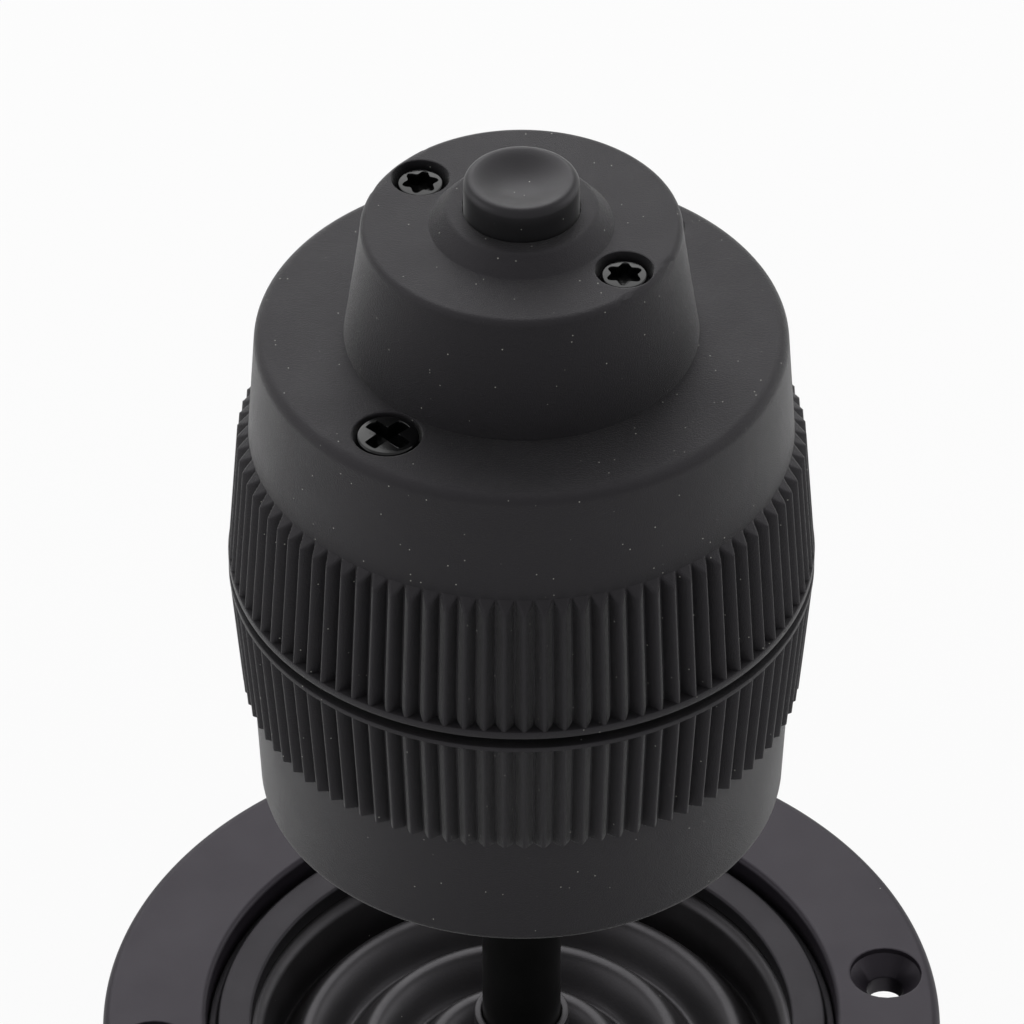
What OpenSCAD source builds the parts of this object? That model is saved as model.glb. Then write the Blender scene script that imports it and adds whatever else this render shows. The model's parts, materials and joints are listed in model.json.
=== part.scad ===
// Three-axis panel joystick: sprung gimbal under a round flange, lever with folded boot,
// and a two-shell knob whose upper half twists and carries a push button.
// Origin: centre of the flange's underside, on the panel's face. +Z runs up the lever.

/* [Panel flange] */
// Diameter of the round mounting flange
flange_d = 76.2; // [75:0.1:90]
// Thickness of the flange above the panel
flange_t = 4; // [3.6:0.1:6]
// Radius of the flange's upper outer edge
flange_edge_r = 0.8; // [0.3:0.1:1.2]
// Wall between the throat above the boot and the outside of the body
throat_wall = 1.3; // [1:0.05:1.5]
// Diameter of the circle through the panel screw holes
hole_circle_d = 67.4; // [67:0.1:68.5]
// Diameter of the panel screw holes
hole_d = 3.4; // [3.2:0.1:3.6]
// Diameter of the countersinks of the panel screw holes
csk_d = 6.5; // [5.6:0.1:6.8]

/* [Housing] */
// Diameter of the body that drops through the panel
body_d = 60; // [59.6:0.1:61]
// Wall thickness of the housing
housing_wall = 2.6; // [2.2:0.1:3]
// Height of the spigot under the flange
spigot_h = 4; // [3:0.5:5]
// Depth of the housing's lower rim under the panel face
housing_depth = 42; // [41:0.5:50]
// Thickness of the base cover
cover_t = 2; // [1.6:0.1:3]
// Thickness of the sensor board
board_t = 1.6; // [1:0.1:2]

/* [Boot] */
// Wall thickness of the boot
boot_wall = 0.9; // [0.6:0.1:1.1]
// Depth of the boot's crests under the flange face
crest_drop = 5; // [4:0.1:5.5]
// Height of the folds from valley to crest
fold_h = 3; // [2:0.1:3.4]
// Distance of the boot's outer web from the throat
web_room = 5.85; // [5.8:0.05:6.4]
// Width of the clamp ring's visible face
ring_w = 3.15; // [2.6:0.05:3.4]
// Depth of the clamp ring's face under the flange face
ring_drop = 1.2; // [0.8:0.1:1.6]
// Thickness of the clamp ring
ring_t = 1.8; // [1.4:0.1:2]

/* [Gimbal] */
// Largest tilt of the lever to each side, in degrees
tilt_max = 18; // [12:1:19]
// Depth of the pivot under the panel face
pivot_depth = 16; // [16:0.5:17]
// Outer radius of the gimbal ring
gimbal_r = 17; // [16.5:0.1:17.2]
// Radial thickness of the gimbal ring
gimbal_w = 4.6; // [4:0.1:5]
// Height of the gimbal ring
gimbal_h = 9; // [8.4:0.1:9.4]
// Diameter of the trunnion pins
pin_d = 4; // [3:0.1:4.4]
// Radial clearance of the pins and the spindle in their bushes
run_clear = 0.03; // [0.01:0.01:0.08]
// Clearance round a screw in its hole
screw_clear = 0.05; // [0.02:0.01:0.1]

/* [Lever] */
// Diameter of the lever shaft
shaft_d = 7.1; // [6.6:0.1:7.4]
// Diameter of the wire passage through the shaft
wire_d = 3.4; // [2.4:0.1:4]

/* [Knob] */
// Height of the knob's lower edge above the panel face
knob_z = 33.5; // [32:0.5:40]
// Radius of the knob's lower edge
knob_foot_r = 23; // [22.6:0.1:23.2]
// Height of the plain skirt under the lower grip
skirt_h = 11.9; // [11.4:0.1:13.4]
// Height of the lower grip band with its rim
lower_grip_h = 12.3; // [11.4:0.1:13]
// Height of the parting gap between the two shells
gap_h = 0.95; // [0.6:0.05:1.2]
// Height of the upper grip band with its rim
upper_grip_h = 13.55; // [12.5:0.05:15]
// Height of the plain wall above the upper grip
crown_h = 10.3; // [9.5:0.1:12]
// Radius of the grip over the ribs, at the parting gap
grip_r = 25.3; // [25.1:0.1:26]
// Number of ribs round each grip band
rib_count = 93; // [72:1:96]
// Height of the ribs above the wall between them
rib_h = 1.05; // [0.8:0.05:1.1]
// Radius of the crown's wall at the shoulder
shoulder_r = 22.6; // [22.4:0.1:22.9]
// Radius of the shoulder's edge
shoulder_edge_r = 0.9; // [0.4:0.1:1.2]
// Thickness of the shoulder's roof
roof_t = 3.5; // [3.2:0.1:4]
// Largest twist of the upper shell to each side, in degrees
twist_max = 30; // [15:1:32]

/* [Turret and button] */
// Radius of the turret at its foot
turret_foot_r = 15; // [14.5:0.1:15]
// Radius of the turret at its top
turret_top_r = 13.5; // [13.2:0.1:13.8]
// Height of the turret
turret_h = 11.2; // [10.8:0.1:14]
// Height of the collar round the button
collar_h = 1.7; // [1:0.1:2]
// Diameter of the button
button_d = 9.7; // [8.6:0.1:9.8]
// Height of the button above the collar
button_proud = 3; // [2.6:0.1:4]
// Travel of the button
button_travel = 1.2; // [0.6:0.1:1.3]

/* [Hidden] */

fine = 96;      // facets of the large turned surfaces
round = 32;     // facets of small holes and screws
over = 0.5;     // how far a cut runs past the face it opens
seat = 0.02;    // gap of two parts that seat on each other by a curved face

// Flange and boot seat
flange_r = flange_d / 2;
body_r = body_d / 2;
throat_r = body_r - throat_wall;
lip_r = 0.5;
panel_holes = 4;
bead_t = 1.4;
ring_top = flange_t - ring_drop;
ring_bottom = ring_top - ring_t;
seat_z = ring_bottom - bead_t;
ring_groove = 0.95;
ring_outer = throat_r - ring_groove;
ring_foot_h = 0.6;
ring_edge_r = 0.35;
crest_z = flange_t - crest_drop;
folds = 3;
first_crest_r = 8.1;
fold_steps = 8;
neck_clear = 0.05;
neck_wall = 0.7;
neck_in = shaft_d / 2 + neck_clear;
neck_out = neck_in + neck_wall;
web_in = throat_r - web_room;
fold_pitch = (web_in - first_crest_r) / (folds - 0.5);
web_out = web_in + boot_wall;
ledge_gap = 0.1;
ledge_r = web_out + ledge_gap;

// Screws: thread radius, head radius, head height
m2 = 1;
m2_head = 1.9;
m2_head_h = 1.3;
m2_csk = 1.8;
m25 = 1.25;
m25_head = 2.5;
m25_head_h = 1.9;
m25_csk = 2.4;
csk_land = 0.15;
drive_points = 6;

// Housing
housing_in = body_r - housing_wall;
column_count = 4;
column_r = 3.4;
web_relief_z = skin_bottom(web_in) - 0.5;
column_circle = housing_in - 2.8;
flange_screw_circle = (ledge_r + throat_r) / 2 - 0.3;
flange_screw_l = 10;
boss_r = 5;
boss_room = 5.8;
boss_in = housing_in - boss_room;
boss_skin = 1.5;
gate_screw_bite = 6;
gate_screw_hole = gate_screw_bite + 1.5;

// Gimbal
pivot_z = -pivot_depth;
pin_r = pin_d / 2;
bush_wall = 0.9;
bush_r = pin_r + run_clear + bush_wall;
bush_flange_r = bush_r + 1;
bush_flange_t = 0.8;
end_play = 0.2;
gimbal_in = gimbal_r - gimbal_w;
ring_boss_r = 4;
ring_boss_end = boss_in - bush_flange_t - end_play;
x_coil_r = 5.7;
x_wire_r = 0.4;
x_post_r = 1;
x_fixed_depth = x_coil_r + x_wire_r + x_post_r + 0.5;
x_moving_depth = x_fixed_depth + 2 * x_post_r + 0.7;
x_arm_r = 2.6;
x_arm_in = gimbal_r - 1;
x_arm_gap = 1.2;
x_arm_out = ring_boss_end - x_arm_gap;
x_post_end = housing_in - x_arm_gap;
x_coil_start = boss_in + 1.1;
x_coil_end = x_post_end - 0.6;
y_coil_r = 4.2;
y_wire_r = 0.35;
y_post_r = 0.9;
y_fixed_depth = y_coil_r + y_wire_r + y_post_r + 0.25;
y_moving_depth = y_fixed_depth + 2 * y_post_r + 0.8;
y_arm_r = 2.2;
y_arm_in = gimbal_in + 0.6;
y_arm_out = gimbal_r - 0.3;
hub_r = 7.2;
hub_half = 5;
hub_boss_r = 3.4;
hub_boss_end = gimbal_in - bush_flange_t - end_play;
hub_stem_r = 5.2;
hub_stem_depth = y_moving_depth + y_post_r + 1;
y_coil_start = hub_r + 0.8;
y_coil_end = hub_boss_end - 0.7;
y_post_in = hub_r + 0.4;
pin_inner = shaft_d / 2 + 0.4;

// Parts stacked under the gimbal
gate_gap = 0.7;
gate_t = 1.6;
gate_clear = 0.3;
gate_top = pivot_z - x_moving_depth - x_arm_r - gate_gap;
gate_bottom = gate_top - gate_t;
gate_half = (pivot_z - gate_bottom) * tan(tilt_max) / cos(tilt_max) + shaft_r() / cos(tilt_max) +
    gate_clear;
plate_r = housing_in - 0.2;
cover_lip_w = 1.4;
cover_lip_out = housing_in - 0.1;
cover_lip_in = cover_lip_out - cover_lip_w;
board_r = cover_lip_in - 0.2;
spacer_h = 4.6;
board_top = gate_bottom - spacer_h;
board_bottom = board_top - board_t;
rim_z = -housing_depth;
cover_bottom = rim_z - cover_t;
sleeve_r = 2.7;
shaft_end = gate_bottom - 1;
magnet_r = 2.5;
magnet_h = 2.3;
wire_exit_z = pivot_z - hub_stem_depth - 1.6;
wire_exit_r = 1.3;
header_w = 20.3;
header_d = 8.9;
header_h = 8.9;
header_wall = 1.2;
header_floor = 2.4;
header_y = 12;
pin_pitch = 2.54;
pin_w = 0.64;
pin_columns = 5;
pin_rows = 2;
pin_top = 1;
pin_gap = 0.05;

// Knob
skirt_top = knob_z + skirt_h;
lower_top = skirt_top + lower_grip_h;
upper_bottom = lower_top + gap_h;
grip_top = upper_bottom + upper_grip_h;
shoulder_z = grip_top + crown_h;
grip_taper_low = 0.075;
grip_taper_high = 0.08;
lower_tip_r = grip_r - grip_taper_low * lower_grip_h;
upper_tip_r = grip_r - grip_taper_high * upper_grip_h;
lower_rim_h = 0.5;
upper_rim_h = 0.75;
rib_bevel = 0.8;
rib_tip_w = 0.5;
rib_root_w = 1.24;
foot_edge_r = 0.8;
shell_wall = 2.4;
lower_floor = 2.5;
lower_in = knob_foot_r - shell_wall;
deck_gap = 3.2;
deck_t = 2.5;
deck_top = lower_top - deck_gap;
deck_z = deck_top - deck_t;
deck_r = lower_in + 0.7;
hub_post_r = 7;
hub_post_h = 12.5;
hub_top = knob_z + hub_post_h;
thread_r = 3;
nut_h = 3.2;
nut_r = 5.77;
shaft_recess = 1;
shaft_top = hub_top + nut_h + 1.2;
post_circle = 15.5;
post_r = 3;
deck_screw_count = 3;
deck_screw_turn = 60;
deck_screw_l = 8;
web_t = 1.6;

// Twist drive
spindle_r = 5;
spindle_step_r = 5.9;
spindle_bore_r = 2.6;
labyrinth_r = deck_r - 1;
labyrinth_z = upper_bottom + 0.75;
carrier_z = labyrinth_z + 0.6;
carrier_t = 2.4;
carrier_r = deck_r + 0.5;
carrier_hub_r = 8.6;
carrier_hub_h = 10;
carrier_top = carrier_z + carrier_hub_h;
step_top = carrier_z - bush_flange_t - 0.05;
twist_bush_r = spindle_r + run_clear + 1.3;
twist_bush_flange_r = twist_bush_r + 1.2;
ring_groove_h = 0.9;
groove_r = 4.2;
retainer_r = 7;
spindle_top = carrier_top + ring_groove_h + 1;
t_coil_r = 6.9;
t_wire_r = 0.5;
t_coil_start = deck_top + 0.9;
t_coil_end = step_top - 1;
t_post_r = 1.2;
t_fixed_r = t_coil_r + t_wire_r + t_post_r + 0.4;
t_moving_r = t_fixed_r + 2 * t_post_r + 0.6;
stop_in = 16;
stop_out = 19.4;
stop_w = 3;
stop_h = 4;
stop_play = 0.4;
magnet_in = 9.4;
board_ring_w = 3.5;
handle_board_t = 1.2;
chip_w = 3;
chip_d = 1.6;
chip_h = 1.1;
twist_magnet_w = 4;
twist_magnet_h = 2.2;

// Crown, turret and button
crown_in = shoulder_r - shell_wall + 0.15;
roof_z = shoulder_z - roof_t;
shoulder_cbore_r = 2.9;
shoulder_screw_circle = turret_foot_r + shoulder_cbore_r + 0.05;
shoulder_screw_turn = 43.5;
shoulder_cbore_h = m25_head_h;
shoulder_screw_l = 8;
screw_post_r = crown_in - shoulder_screw_circle - 0.1;
roof_hole_r = 4;
turret_top = shoulder_z + turret_h;
turret_wall = 2.4;
turret_flare = 1.1;
turret_edge_r = 0.6;
turret_steps = 10;
turret_screw_circle = turret_top_r - 2.9;
turret_screw_turn = 135;
turret_cbore_r = 2.45;
turret_cbore_h = m2_head_h + 0.5;
turret_post_r = 2.3;
turret_in = turret_top_r - turret_wall + 0.4;
turret_ceiling = turret_top - 2.6;
collar_foot_r = 7.7;
collar_top_r = 6.4;
collar_top = turret_top + collar_h;
button_r = button_d / 2;
button_clear = 0.1;
button_flange_r = button_r + 0.8;
button_flange_t = 1.2;
button_flange_top = turret_ceiling - 0.05;
button_flange_z = button_flange_top - button_flange_t;
button_top = collar_top + button_proud;
button_edge_r = 0.7;
dish_depth = 0.9;
dish_r = button_r - button_edge_r;
dish_steps = 6;
switch_board_t = 1.6;
switch_board_r = 7.9;
switch_board_top = shoulder_z + switch_board_t;
switch_w = 6;
switch_h = 3.5;
switch_top = switch_board_top + switch_h;
plunger_r = 1.75;
plunger_sink = button_travel + 0.6;
button_spring_r = 5.05;
button_wire_r = 0.3;
button_turns = 4;

function shaft_r() = shaft_d / 2;

// Points of an arc about (x, y), from angle a to angle b
function arc(x, y, r, a, b, n = 6) = [for (i = [0:n]) let (t = a + (b - a) * i / n)
    [x + r * cos(t), y + r * sin(t)]];

// Height of the boot's upper skin at radius r, and of its lower skin
function fold_phase(r) = 360 * (r - first_crest_r) / fold_pitch;
function skin_top(r) = crest_z - fold_h / 2 * (1 - cos(fold_phase(r)));
function skin_slope(r) = fold_h * PI / fold_pitch * sin(fold_phase(r));
function skin_bottom(r) = skin_top(r) - boot_wall * sqrt(1 + pow(skin_slope(r), 2));

// A round wire swept along points that turn about the Z axis
module wire(points, r, sides = 6) {
    n = len(points);
    function along(i) = points[min(i + 1, n - 1)] - points[max(i - 1, 0)];
    function unit(v) = v / norm(v);
    rings = [for (i = [0:n - 1])
        let (t = unit(along(i)), u = unit(cross(t, [0, 0, 1])), v = cross(u, t))
        for (k = [0:sides - 1])
            points[i] + r * (cos(360 * k / sides) * u + sin(360 * k / sides) * v)];
    walls = [for (i = [0:n - 2], k = [0:sides - 1])
        let (a = i * sides + k, b = i * sides + (k + 1) % sides)
        [a, b, b + sides, a + sides]];
    near = [for (k = [sides - 1:-1:0]) k];
    far = [for (k = [0:sides - 1]) (n - 1) * sides + k];
    polyhedron(rings, concat([near], walls, [far]), convexity = 6);
}

// Centring spring: a coil from z0 to z1 whose two legs run down -Y and grip posts of radius post
module torsion_spring(coil_r, wire_r, z0, z1, turns, post, first, last) {
    side = post + wire_r + seat;
    bend = first - post;
    reach = sqrt(side * side + bend * bend);
    lean = atan2(side, bend) + 90 - acos(coil_r / reach);
    start = -lean;
    sweep = 180 + 2 * lean + 360 * turns;
    steps = round(sweep / 24);
    leg_end = last + post + wire_r;
    coil = [for (i = [0:steps]) let (a = start + sweep * i / steps)
        [coil_r * cos(a), coil_r * sin(a), z0 + (z1 - z0) * i / steps]];
    wire(concat([[side, -leg_end, z0], [side, -bend, z0]], coil,
        [[-side, -bend, z1], [-side, -leg_end, z1]]), wire_r);
}

// Coil spring standing on z0
module coil_spring(coil_r, wire_r, z0, z1, turns) {
    steps = turns * 16;
    wire([for (i = [0:steps]) let (a = 360 * turns * i / steps)
        [coil_r * cos(a), coil_r * sin(a), z0 + wire_r + (z1 - z0 - 2 * wire_r) * i / steps]], wire_r);
}

// Pan-head screw under its head at z = 0, with a star recess
module pan_screw(thread, head, head_h, length) {
    crown = head_h * 0.25;
    difference() {
        rotate_extrude($fn = round)
            polygon(concat([[0, -length], [thread - 0.2, -length], [thread, -length + 0.3],
            [thread, 0], [head, 0]], arc(head - crown, head_h - crown, crown, 0, 90, 3), [[0, head_h]]));
        translate([0, 0, head_h - 0.9]) linear_extrude(0.9 + over) star(head * 0.56);
    }
}

// Six-pointed recess, widest radius r
module star(r) {
    inner = 0.62;
    polygon([for (i = [0:2 * drive_points - 1]) let (a = 180 * i / drive_points,
        k = i % 2 == 0 ? r : r * inner)
        [k * cos(a), k * sin(a)]]);
}

// Countersunk screw with its flat head's face at z = 0
module csk_screw(thread, head, length) {
    cone = head - thread;
    difference() {
        rotate_extrude($fn = round)
            polygon([[0, -length], [thread - 0.2, -length], [thread, -length + 0.3],
            [thread, -cone - csk_land], [head, -csk_land], [head, 0], [0, 0]]);
        translate([0, 0, -0.8]) linear_extrude(0.8 + over) star(head * 0.52);
    }
}

// Hole for a countersunk screw of that thread and head, face at z = 0
module csk_hole(thread, head, depth) {
    hole = thread + screw_clear;
    wide = head + seat;
    rotate_extrude($fn = round) polygon([[0, -depth], [hole, -depth], [hole, hole - wide - csk_land],
        [wide, -csk_land], [wide, over], [0, over]]);
}

// Copies at equal angles on a circle
module ring_of(count, radius, turn = 0) {
    for (i = [0:count - 1]) rotate(turn + 360 * i / count) translate([radius, 0, 0]) children();
}

// A plain tube from z0 to z1
module tube(outer, inner, z0, z1, facets = 32) {
    difference() {
        translate([0, 0, z0]) cylinder(r = outer, h = z1 - z0, $fn = facets);
        translate([0, 0, z0 - over]) cylinder(r = inner, h = z1 - z0 + 2 * over, $fn = facets);
    }
}

module flange() {
    edge = 0.3;
    color([0.13, 0.12, 0.14]) difference() {
        rotate_extrude($fn = fine) polygon(concat(
            [[ledge_r, -spigot_h], [body_r, -spigot_h], [body_r, 0], [flange_r - edge, 0],
                [flange_r, edge]],
            arc(flange_r - flange_edge_r, flange_t - flange_edge_r, flange_edge_r, 0, 90),
            arc(throat_r + lip_r, flange_t - lip_r, lip_r, 90, 180, 4),
            [[throat_r, seat_z], [ledge_r, seat_z]]));
        ring_of(panel_holes, hole_circle_d / 2) translate([0, 0, flange_t])
            csk_hole(hole_d / 2 - screw_clear, csk_d / 2 - seat, flange_t + over);
        ring_of(column_count, flange_screw_circle, 45) translate([0, 0, seat_z])
            csk_hole(m2, m2_csk, spigot_h + seat_z + over);
    }
}

module boot_clamp_ring() {
    inner = ring_outer - ring_w;
    color([0.1, 0.1, 0.11]) rotate_extrude($fn = fine) polygon(concat(
        [[inner, ring_bottom], [throat_r - seat, ring_bottom],
            [throat_r - seat, ring_bottom + ring_foot_h],
        [ring_outer, ring_bottom + ring_foot_h]],
        arc(ring_outer - ring_edge_r, ring_top - ring_edge_r, ring_edge_r, 0, 90, 4),
        arc(inner + ring_edge_r, ring_top - ring_edge_r, ring_edge_r, 90, 180, 4)));
}

module boot() {
    span = web_in - neck_out;
    n = ceil(folds * fold_steps);
    upper = [for (i = [0:n]) let (r = neck_out + span * i / n) [r, skin_top(r)]];
    lower = [for (i = [n:-1:0]) let (r = neck_out + span * i / n) [r, skin_bottom(r)]];
    color([0.09, 0.09, 0.09]) rotate_extrude($fn = fine) polygon(concat(
        [[neck_in, skin_bottom(neck_out)], [neck_in, flange_t], [neck_out, flange_t]],
        upper,
        [[web_in, ring_bottom], [throat_r - seat * 10, ring_bottom], [throat_r - seat * 10, seat_z],
        [web_out, seat_z], [web_out, skin_bottom(web_in)]],
        lower));
}

module housing() {
    color([0.16, 0.16, 0.17]) difference() {
        union() {
            rotate(20) tube(body_r, housing_in, rim_z, -spigot_h, fine);
            ring_of(column_count, column_circle, 45) translate([0, 0, gate_top]) rotate(180)
                cylinder(r = column_r, h = -spigot_h - gate_top, $fn = round);
            ring_of(2, boss_in) translate([0, 0, pivot_z]) rotate([0, 90, 0])
                cylinder(r = boss_r, h = body_r - boss_in - boss_skin, $fn = round);
            translate([x_coil_start - 0.3, 0, pivot_z - x_fixed_depth]) rotate([0, 90, 0])
                cylinder(r = x_post_r, h = housing_in + 1 - x_coil_start, $fn = round);
        }
        translate([0, 0, web_relief_z])
            cylinder(r = ledge_r + ledge_gap, h = over - spigot_h - web_relief_z, $fn = fine);
        ring_of(2, boss_in - over) translate([0, 0, pivot_z]) rotate([0, 90, 0])
            cylinder(r = bush_r + seat, h = body_r, $fn = round);
        ring_of(column_count, flange_screw_circle, 45) translate([0, 0, -spigot_h - flange_screw_l])
            cylinder(r = m2 + seat, h = flange_screw_l + over, $fn = round);
        ring_of(column_count, column_circle, 45) translate([0, 0, gate_top - over])
            cylinder(r = m25 + seat, h = gate_screw_hole, $fn = round);
    }
}

// Flanged plain bush lying along X with its flange's back at x = 0
module bush(inner, outer, flange, length) {
    rotate([0, 90, 0]) rotate_extrude($fn = round)
        polygon([[inner, -bush_flange_t], [flange, -bush_flange_t],
        [flange, 0], [outer, 0], [outer, length], [inner, length]]);
}

module trunnion_bushes() {
    color([0.62, 0.5, 0.3]) ring_of(2, boss_in) translate([0, 0, pivot_z])
        bush(pin_r + run_clear, bush_r, bush_flange_r, body_r - boss_in - 0.9);
}

module housing_screws() {
    color([0.1, 0.1, 0.1]) ring_of(column_count, flange_screw_circle, 45) translate([0, 0, seat_z])
        csk_screw(m2, m2_csk, flange_screw_l);
}

module gate_plate() {
    color([0.55, 0.56, 0.58]) difference() {
        translate([0, 0, gate_bottom]) cylinder(r = plate_r, h = gate_t, $fn = fine);
        translate([-gate_half, -gate_half, gate_bottom - over])
            cube([2 * gate_half, 2 * gate_half, gate_t + 2 * over]);
        ring_of(column_count, column_circle, 45) translate([0, 0, gate_bottom - over])
            cylinder(r = m25 + screw_clear, h = gate_t + 2 * over, $fn = round);
    }
}

module spacers() {
    color([0.75, 0.75, 0.76]) ring_of(column_count, column_circle, 45)
        tube(sleeve_r, m25 + screw_clear, board_top, gate_bottom);
}

module pin_places() {
    for (i = [0:pin_columns - 1], j = [0:pin_rows - 1])
        translate([(i - (pin_columns - 1) / 2) * pin_pitch,
            header_y + (j - (pin_rows - 1) / 2) * pin_pitch, 0])
            children();
}

module sensor_board() {
    color([0.1, 0.32, 0.16]) difference() {
        translate([0, 0, board_bottom]) cylinder(r = board_r, h = board_t, $fn = fine);
        ring_of(column_count, column_circle, 45) translate([0, 0, board_bottom - over])
            cylinder(r = m25 + screw_clear, h = board_t + 2 * over, $fn = round);
        pin_places() translate([0, 0, board_bottom - over])
            cylinder(r = pin_w, h = board_t + 2 * over, $fn = 16);
    }
}

// Surface-mounted chip of body w x d x h with gull-wing legs, standing on z = 0
module chip(w, d, h, legs) {
    stand = 0.1;
    leg_w = 0.4;
    translate([-w / 2, -d / 2, stand]) cube([w, d, h - stand]);
    for (i = [0:legs - 1], s = [-1, 1])
        translate([(i - (legs - 1) / 2) * w / legs - leg_w / 2,
            s > 0 ? d / 2 - leg_w : -d / 2 - 1 + leg_w, 0])
            cube([leg_w, 1, 0.25]);
}

module tilt_sensor() {
    color([0.08, 0.08, 0.08]) translate([0, 0, board_top]) chip(4.9, 3.9, 1.5, 4);
}

module connector_header() {
    color([0.07, 0.07, 0.07]) difference() {
        translate([-header_w / 2, header_y - header_d / 2, board_bottom - header_h])
            cube([header_w, header_d, header_h]);
        translate([-header_w / 2 + header_wall, header_y - header_d / 2 + header_wall,
            board_bottom - header_h - over])
            cube([header_w - 2 * header_wall, header_d - 2 * header_wall,
                header_h - header_floor + over]);
        translate([-2.2, header_y - header_d / 2 - over, board_bottom - header_h - over])
            cube([4.4, header_wall + 2 * over, header_h - header_floor - 1 + over]);
        pin_places() translate([-pin_w / 2 - pin_gap, -pin_w / 2 - pin_gap, board_bottom - header_h])
            cube([pin_w + 2 * pin_gap, pin_w + 2 * pin_gap, header_h + over]);
    }
}

module connector_pins() {
    color([0.8, 0.7, 0.4]) pin_places()
        translate([-pin_w / 2, -pin_w / 2, board_bottom - header_h + 1.2])
            cube([pin_w, pin_w, header_h - 1.2 + board_t + pin_top]);
}

module base_cover() {
    slot_gap = 0.4;
    color([0.15, 0.15, 0.16]) difference() {
        union() {
            rotate_extrude($fn = fine) polygon([[0, cover_bottom], [body_r - 0.6, cover_bottom],
                [body_r, cover_bottom + 0.6], [body_r, rim_z], [0, rim_z]]);
            tube(cover_lip_out, cover_lip_in, rim_z - over, rim_z + cover_lip_w, fine);
            ring_of(column_count, column_circle, 45) translate([0, 0, rim_z - over])
                cylinder(r = sleeve_r, h = board_bottom - rim_z + over, $fn = round);
        }
        translate([-header_w / 2 - slot_gap, header_y - header_d / 2 - slot_gap, cover_bottom - over])
            cube([header_w + 2 * slot_gap, header_d + 2 * slot_gap, cover_t + 2 * over]);
        ring_of(column_count, column_circle, 45) translate([0, 0, cover_bottom]) mirror([0, 0, 1])
            csk_hole(m25, m25_csk, board_bottom - cover_bottom + over);
    }
}

module cover_screws() {
    length = gate_top - cover_bottom + gate_screw_bite;
    color([0.1, 0.1, 0.1]) ring_of(column_count, column_circle, 45) translate([0, 0, cover_bottom])
        mirror([0, 0, 1]) csk_screw(m25, m25_csk, length);
}

module tilt_x_spring() {
    color([0.7, 0.7, 0.72]) translate([0, 0, pivot_z]) rotate([90, 0, 90])
        torsion_spring(x_coil_r, x_wire_r, x_coil_start, x_coil_end, 2, x_post_r, x_fixed_depth,
            x_moving_depth);
}

module gimbal_ring() {
    arm_w = x_arm_out - x_arm_in;
    y_arm_w = y_arm_out - y_arm_in;
    color([0.6, 0.61, 0.63]) translate([0, 0, pivot_z]) difference() {
        union() {
            translate([0, 0, -gimbal_h / 2]) cylinder(r = gimbal_r, h = gimbal_h, $fn = fine);
            ring_of(2, gimbal_r - 1) rotate([0, 90, 0])
                cylinder(r = ring_boss_r, h = ring_boss_end - gimbal_r + 1, $fn = round);
            translate([x_arm_in, -x_arm_r, -x_moving_depth]) cube([arm_w, 2 * x_arm_r, x_moving_depth]);
            translate([x_arm_in, 0, -x_moving_depth]) rotate([0, 90, 0])
                cylinder(r = x_arm_r, h = arm_w, $fn = round);
            translate([x_arm_in, 0, -x_moving_depth]) rotate([0, 90, 0])
                cylinder(r = x_post_r, h = x_post_end - x_arm_in, $fn = round);
        }
        translate([0, 0, -x_moving_depth - x_arm_r - over])
            cylinder(r = gimbal_in, h = x_moving_depth + x_arm_r + gimbal_h, $fn = fine);
        ring_of(2, gimbal_in - over) rotate([0, 90, 0])
            cylinder(r = pin_r + seat, h = ring_boss_end - gimbal_in + 2 * over, $fn = round);
        ring_of(2, gimbal_in - over, 90) rotate([0, 90, 0])
            cylinder(r = bush_r + seat, h = gimbal_w + 2, $fn = round);
        ring_of(2, 0, 90) rotate([0, 90, 0])
            cylinder(r = bush_flange_r + 0.1, h = gimbal_in, $fn = round);
    }
    color([0.6, 0.61, 0.63]) translate([0, 0, pivot_z]) {
        translate([-y_arm_r, -y_arm_out, -y_fixed_depth])
            cube([2 * y_arm_r, y_arm_w, y_fixed_depth - bush_r - 0.3]);
        translate([0, -y_arm_in, -y_fixed_depth]) rotate([90, 0, 0])
            cylinder(r = y_arm_r, h = y_arm_w, $fn = round);
        translate([0, -y_post_in, -y_fixed_depth]) rotate([90, 0, 0])
            cylinder(r = y_post_r, h = y_arm_out - y_post_in, $fn = round);
    }
}

module gimbal_pins() {
    color([0.78, 0.78, 0.8]) ring_of(2, gimbal_in + 0.2) translate([0, 0, pivot_z]) rotate([0, 90, 0])
        cylinder(r = pin_r, h = body_r - gimbal_in - 1.4, $fn = round);
}

module gimbal_bushes() {
    color([0.62, 0.5, 0.3]) ring_of(2, gimbal_in, 90) translate([0, 0, pivot_z])
        bush(pin_r + run_clear, bush_r, bush_flange_r, gimbal_w - 0.4);
}

module lever_hub() {
    color([0.5, 0.51, 0.53]) translate([0, 0, pivot_z]) difference() {
        union() {
            translate([0, 0, -hub_half]) cylinder(r = hub_r, h = 2 * hub_half, $fn = round * 2);
            translate([0, 0, -hub_stem_depth]) cylinder(r = hub_stem_r, h = hub_stem_depth, $fn = round);
            ring_of(2, 0, 90) rotate([0, 90, 0]) cylinder(r = hub_boss_r, h = hub_boss_end, $fn = round);
            translate([0, 0, -y_moving_depth]) rotate([90, 0, 0])
                cylinder(r = y_post_r, h = y_coil_end + y_wire_r, $fn = round);
        }
        translate([0, 0, -hub_stem_depth - over])
            cylinder(r = shaft_d / 2 + seat, h = hub_stem_depth + hub_half + 2 * over, $fn = round);
        ring_of(2, pin_inner, 90) rotate([0, 90, 0])
            cylinder(r = pin_r + seat, h = gimbal_in, $fn = round);
    }
}

module lever_pins() {
    color([0.78, 0.78, 0.8]) ring_of(2, pin_inner, 90) translate([0, 0, pivot_z]) rotate([0, 90, 0])
        cylinder(r = pin_r, h = gimbal_r - pin_inner - 0.6, $fn = round);
}

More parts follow.
